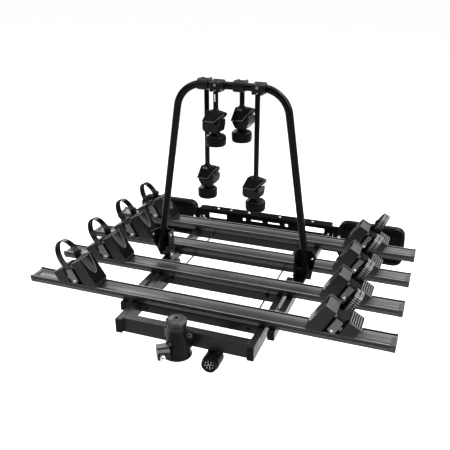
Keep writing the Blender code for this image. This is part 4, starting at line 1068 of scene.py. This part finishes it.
# --- studio --------------------------------------------------------------------
def build_stage():
    floor = bpy.data.objects.new("studio_floor", bpy.data.meshes.new("studio_floor"))
    shape = bmesh.new()
    bmesh.ops.create_grid(shape, x_segments=2, y_segments=2, size=40.0)
    bmesh.ops.translate(shape, verts=shape.verts, vec=(0, 0.5, -0.62))
    shape.to_mesh(floor.data)
    shape.free()
    n = Nodes("studio_floor")
    colour = n.ramp(n.noise(1.5, 3.0), [(0.3, grey(0.88)), (0.7, grey(0.90))])
    rough = n.spread(n.noise(4.0, 3.0), 0.85, 0.95)
    normal = n.bump(n.noise(200.0, 2.0), 0.0002, 0.2)
    floor.data.materials.append(n.finish(colour, rough, normal, Specular_IOR_Level=0.1))
    SCENE.collection.objects.link(floor)
    world = bpy.data.worlds.new("studio")
    world.use_nodes = True
    background = world.node_tree.nodes["Background"]
    background.inputs["Color"].default_value = (1.0, 1.0, 1.0, 1.0)
    background.inputs["Strength"].default_value = 0.18
    SCENE.world = world
    sun = bpy.data.lights.new("overhead", "SUN")
    sun.energy = 3.05
    sun.angle = math.radians(50)
    holder = bpy.data.objects.new("overhead", sun)
    holder.rotation_mode = "QUATERNION"
    holder.rotation_quaternion = Vector((0.15, -0.12, -1.0)).to_track_quat("-Z", "Y")
    SCENE.collection.objects.link(holder)


def area_light(name, place, aim, size, power):
    """A soft box at a place, facing a point."""
    light = bpy.data.lights.new(name, "AREA")
    light.shape = "RECTANGLE"
    light.size, light.size_y = size
    light.energy = power
    lamp = bpy.data.objects.new(name, light)
    lamp.location = place
    lamp.rotation_mode = "QUATERNION"
    lamp.rotation_quaternion = (Vector(aim) - Vector(place)).to_track_quat("-Z", "Y")
    SCENE.collection.objects.link(lamp)


def build_camera():
    """Camera above the front right of the carrier."""
    camera = bpy.data.cameras.new("camera")
    camera.lens = 50.0
    camera.sensor_width = 36.0
    camera.clip_start = 0.05
    camera.clip_end = 120.0
    holder = bpy.data.objects.new("camera", camera)
    right = Vector((0.9377, 0.3474, 0.0)).normalized()
    ahead = Vector((-0.3185, 0.8597, -0.3992)).normalized()
    up = right.cross(ahead)
    turn = Matrix((right, up, -ahead)).transposed().to_4x4()
    holder.matrix_world = Matrix.Translation((0.67, -1.4041, 1.0788)) @ turn
    SCENE.collection.objects.link(holder)
    SCENE.camera = holder


build_rail_caps()
build_rail_lines()
build_wheel_stops()
build_hoop()
build_bracket_bolts()
build_arms()
build_coupling_cap()
build_coupling_trim()
build_plug_detail()
build_board_detail()
for label, side in SIDES:
    build_lamp_detail(label, side)
build_frame_detail()
build_stage()
build_camera()
area_light("back_left", (-2.4, 3.0, 1.9), (-0.2, 0.4, 0.1), (1.6, 1.0), 50)
area_light("back_right", (0.9, 3.4, 1.9), (0.2, 0.4, 0.1), (1.2, 0.9), 32)
area_light("key_left", (-1.6, -0.9, 2.2), (0, 0.4, 0.2), (0.9, 0.9), 30)
area_light("key_high", (1.7, 2.4, 3.2), (0.1, 0.45, 0.5), (1.2, 1.2), 110)
area_light("key_right", (2.1, 0.15, 2.25), (0.46, 0.45, 0.2), (1.5, 2.4), 130)
SCENE.view_settings.view_transform = "Standard"
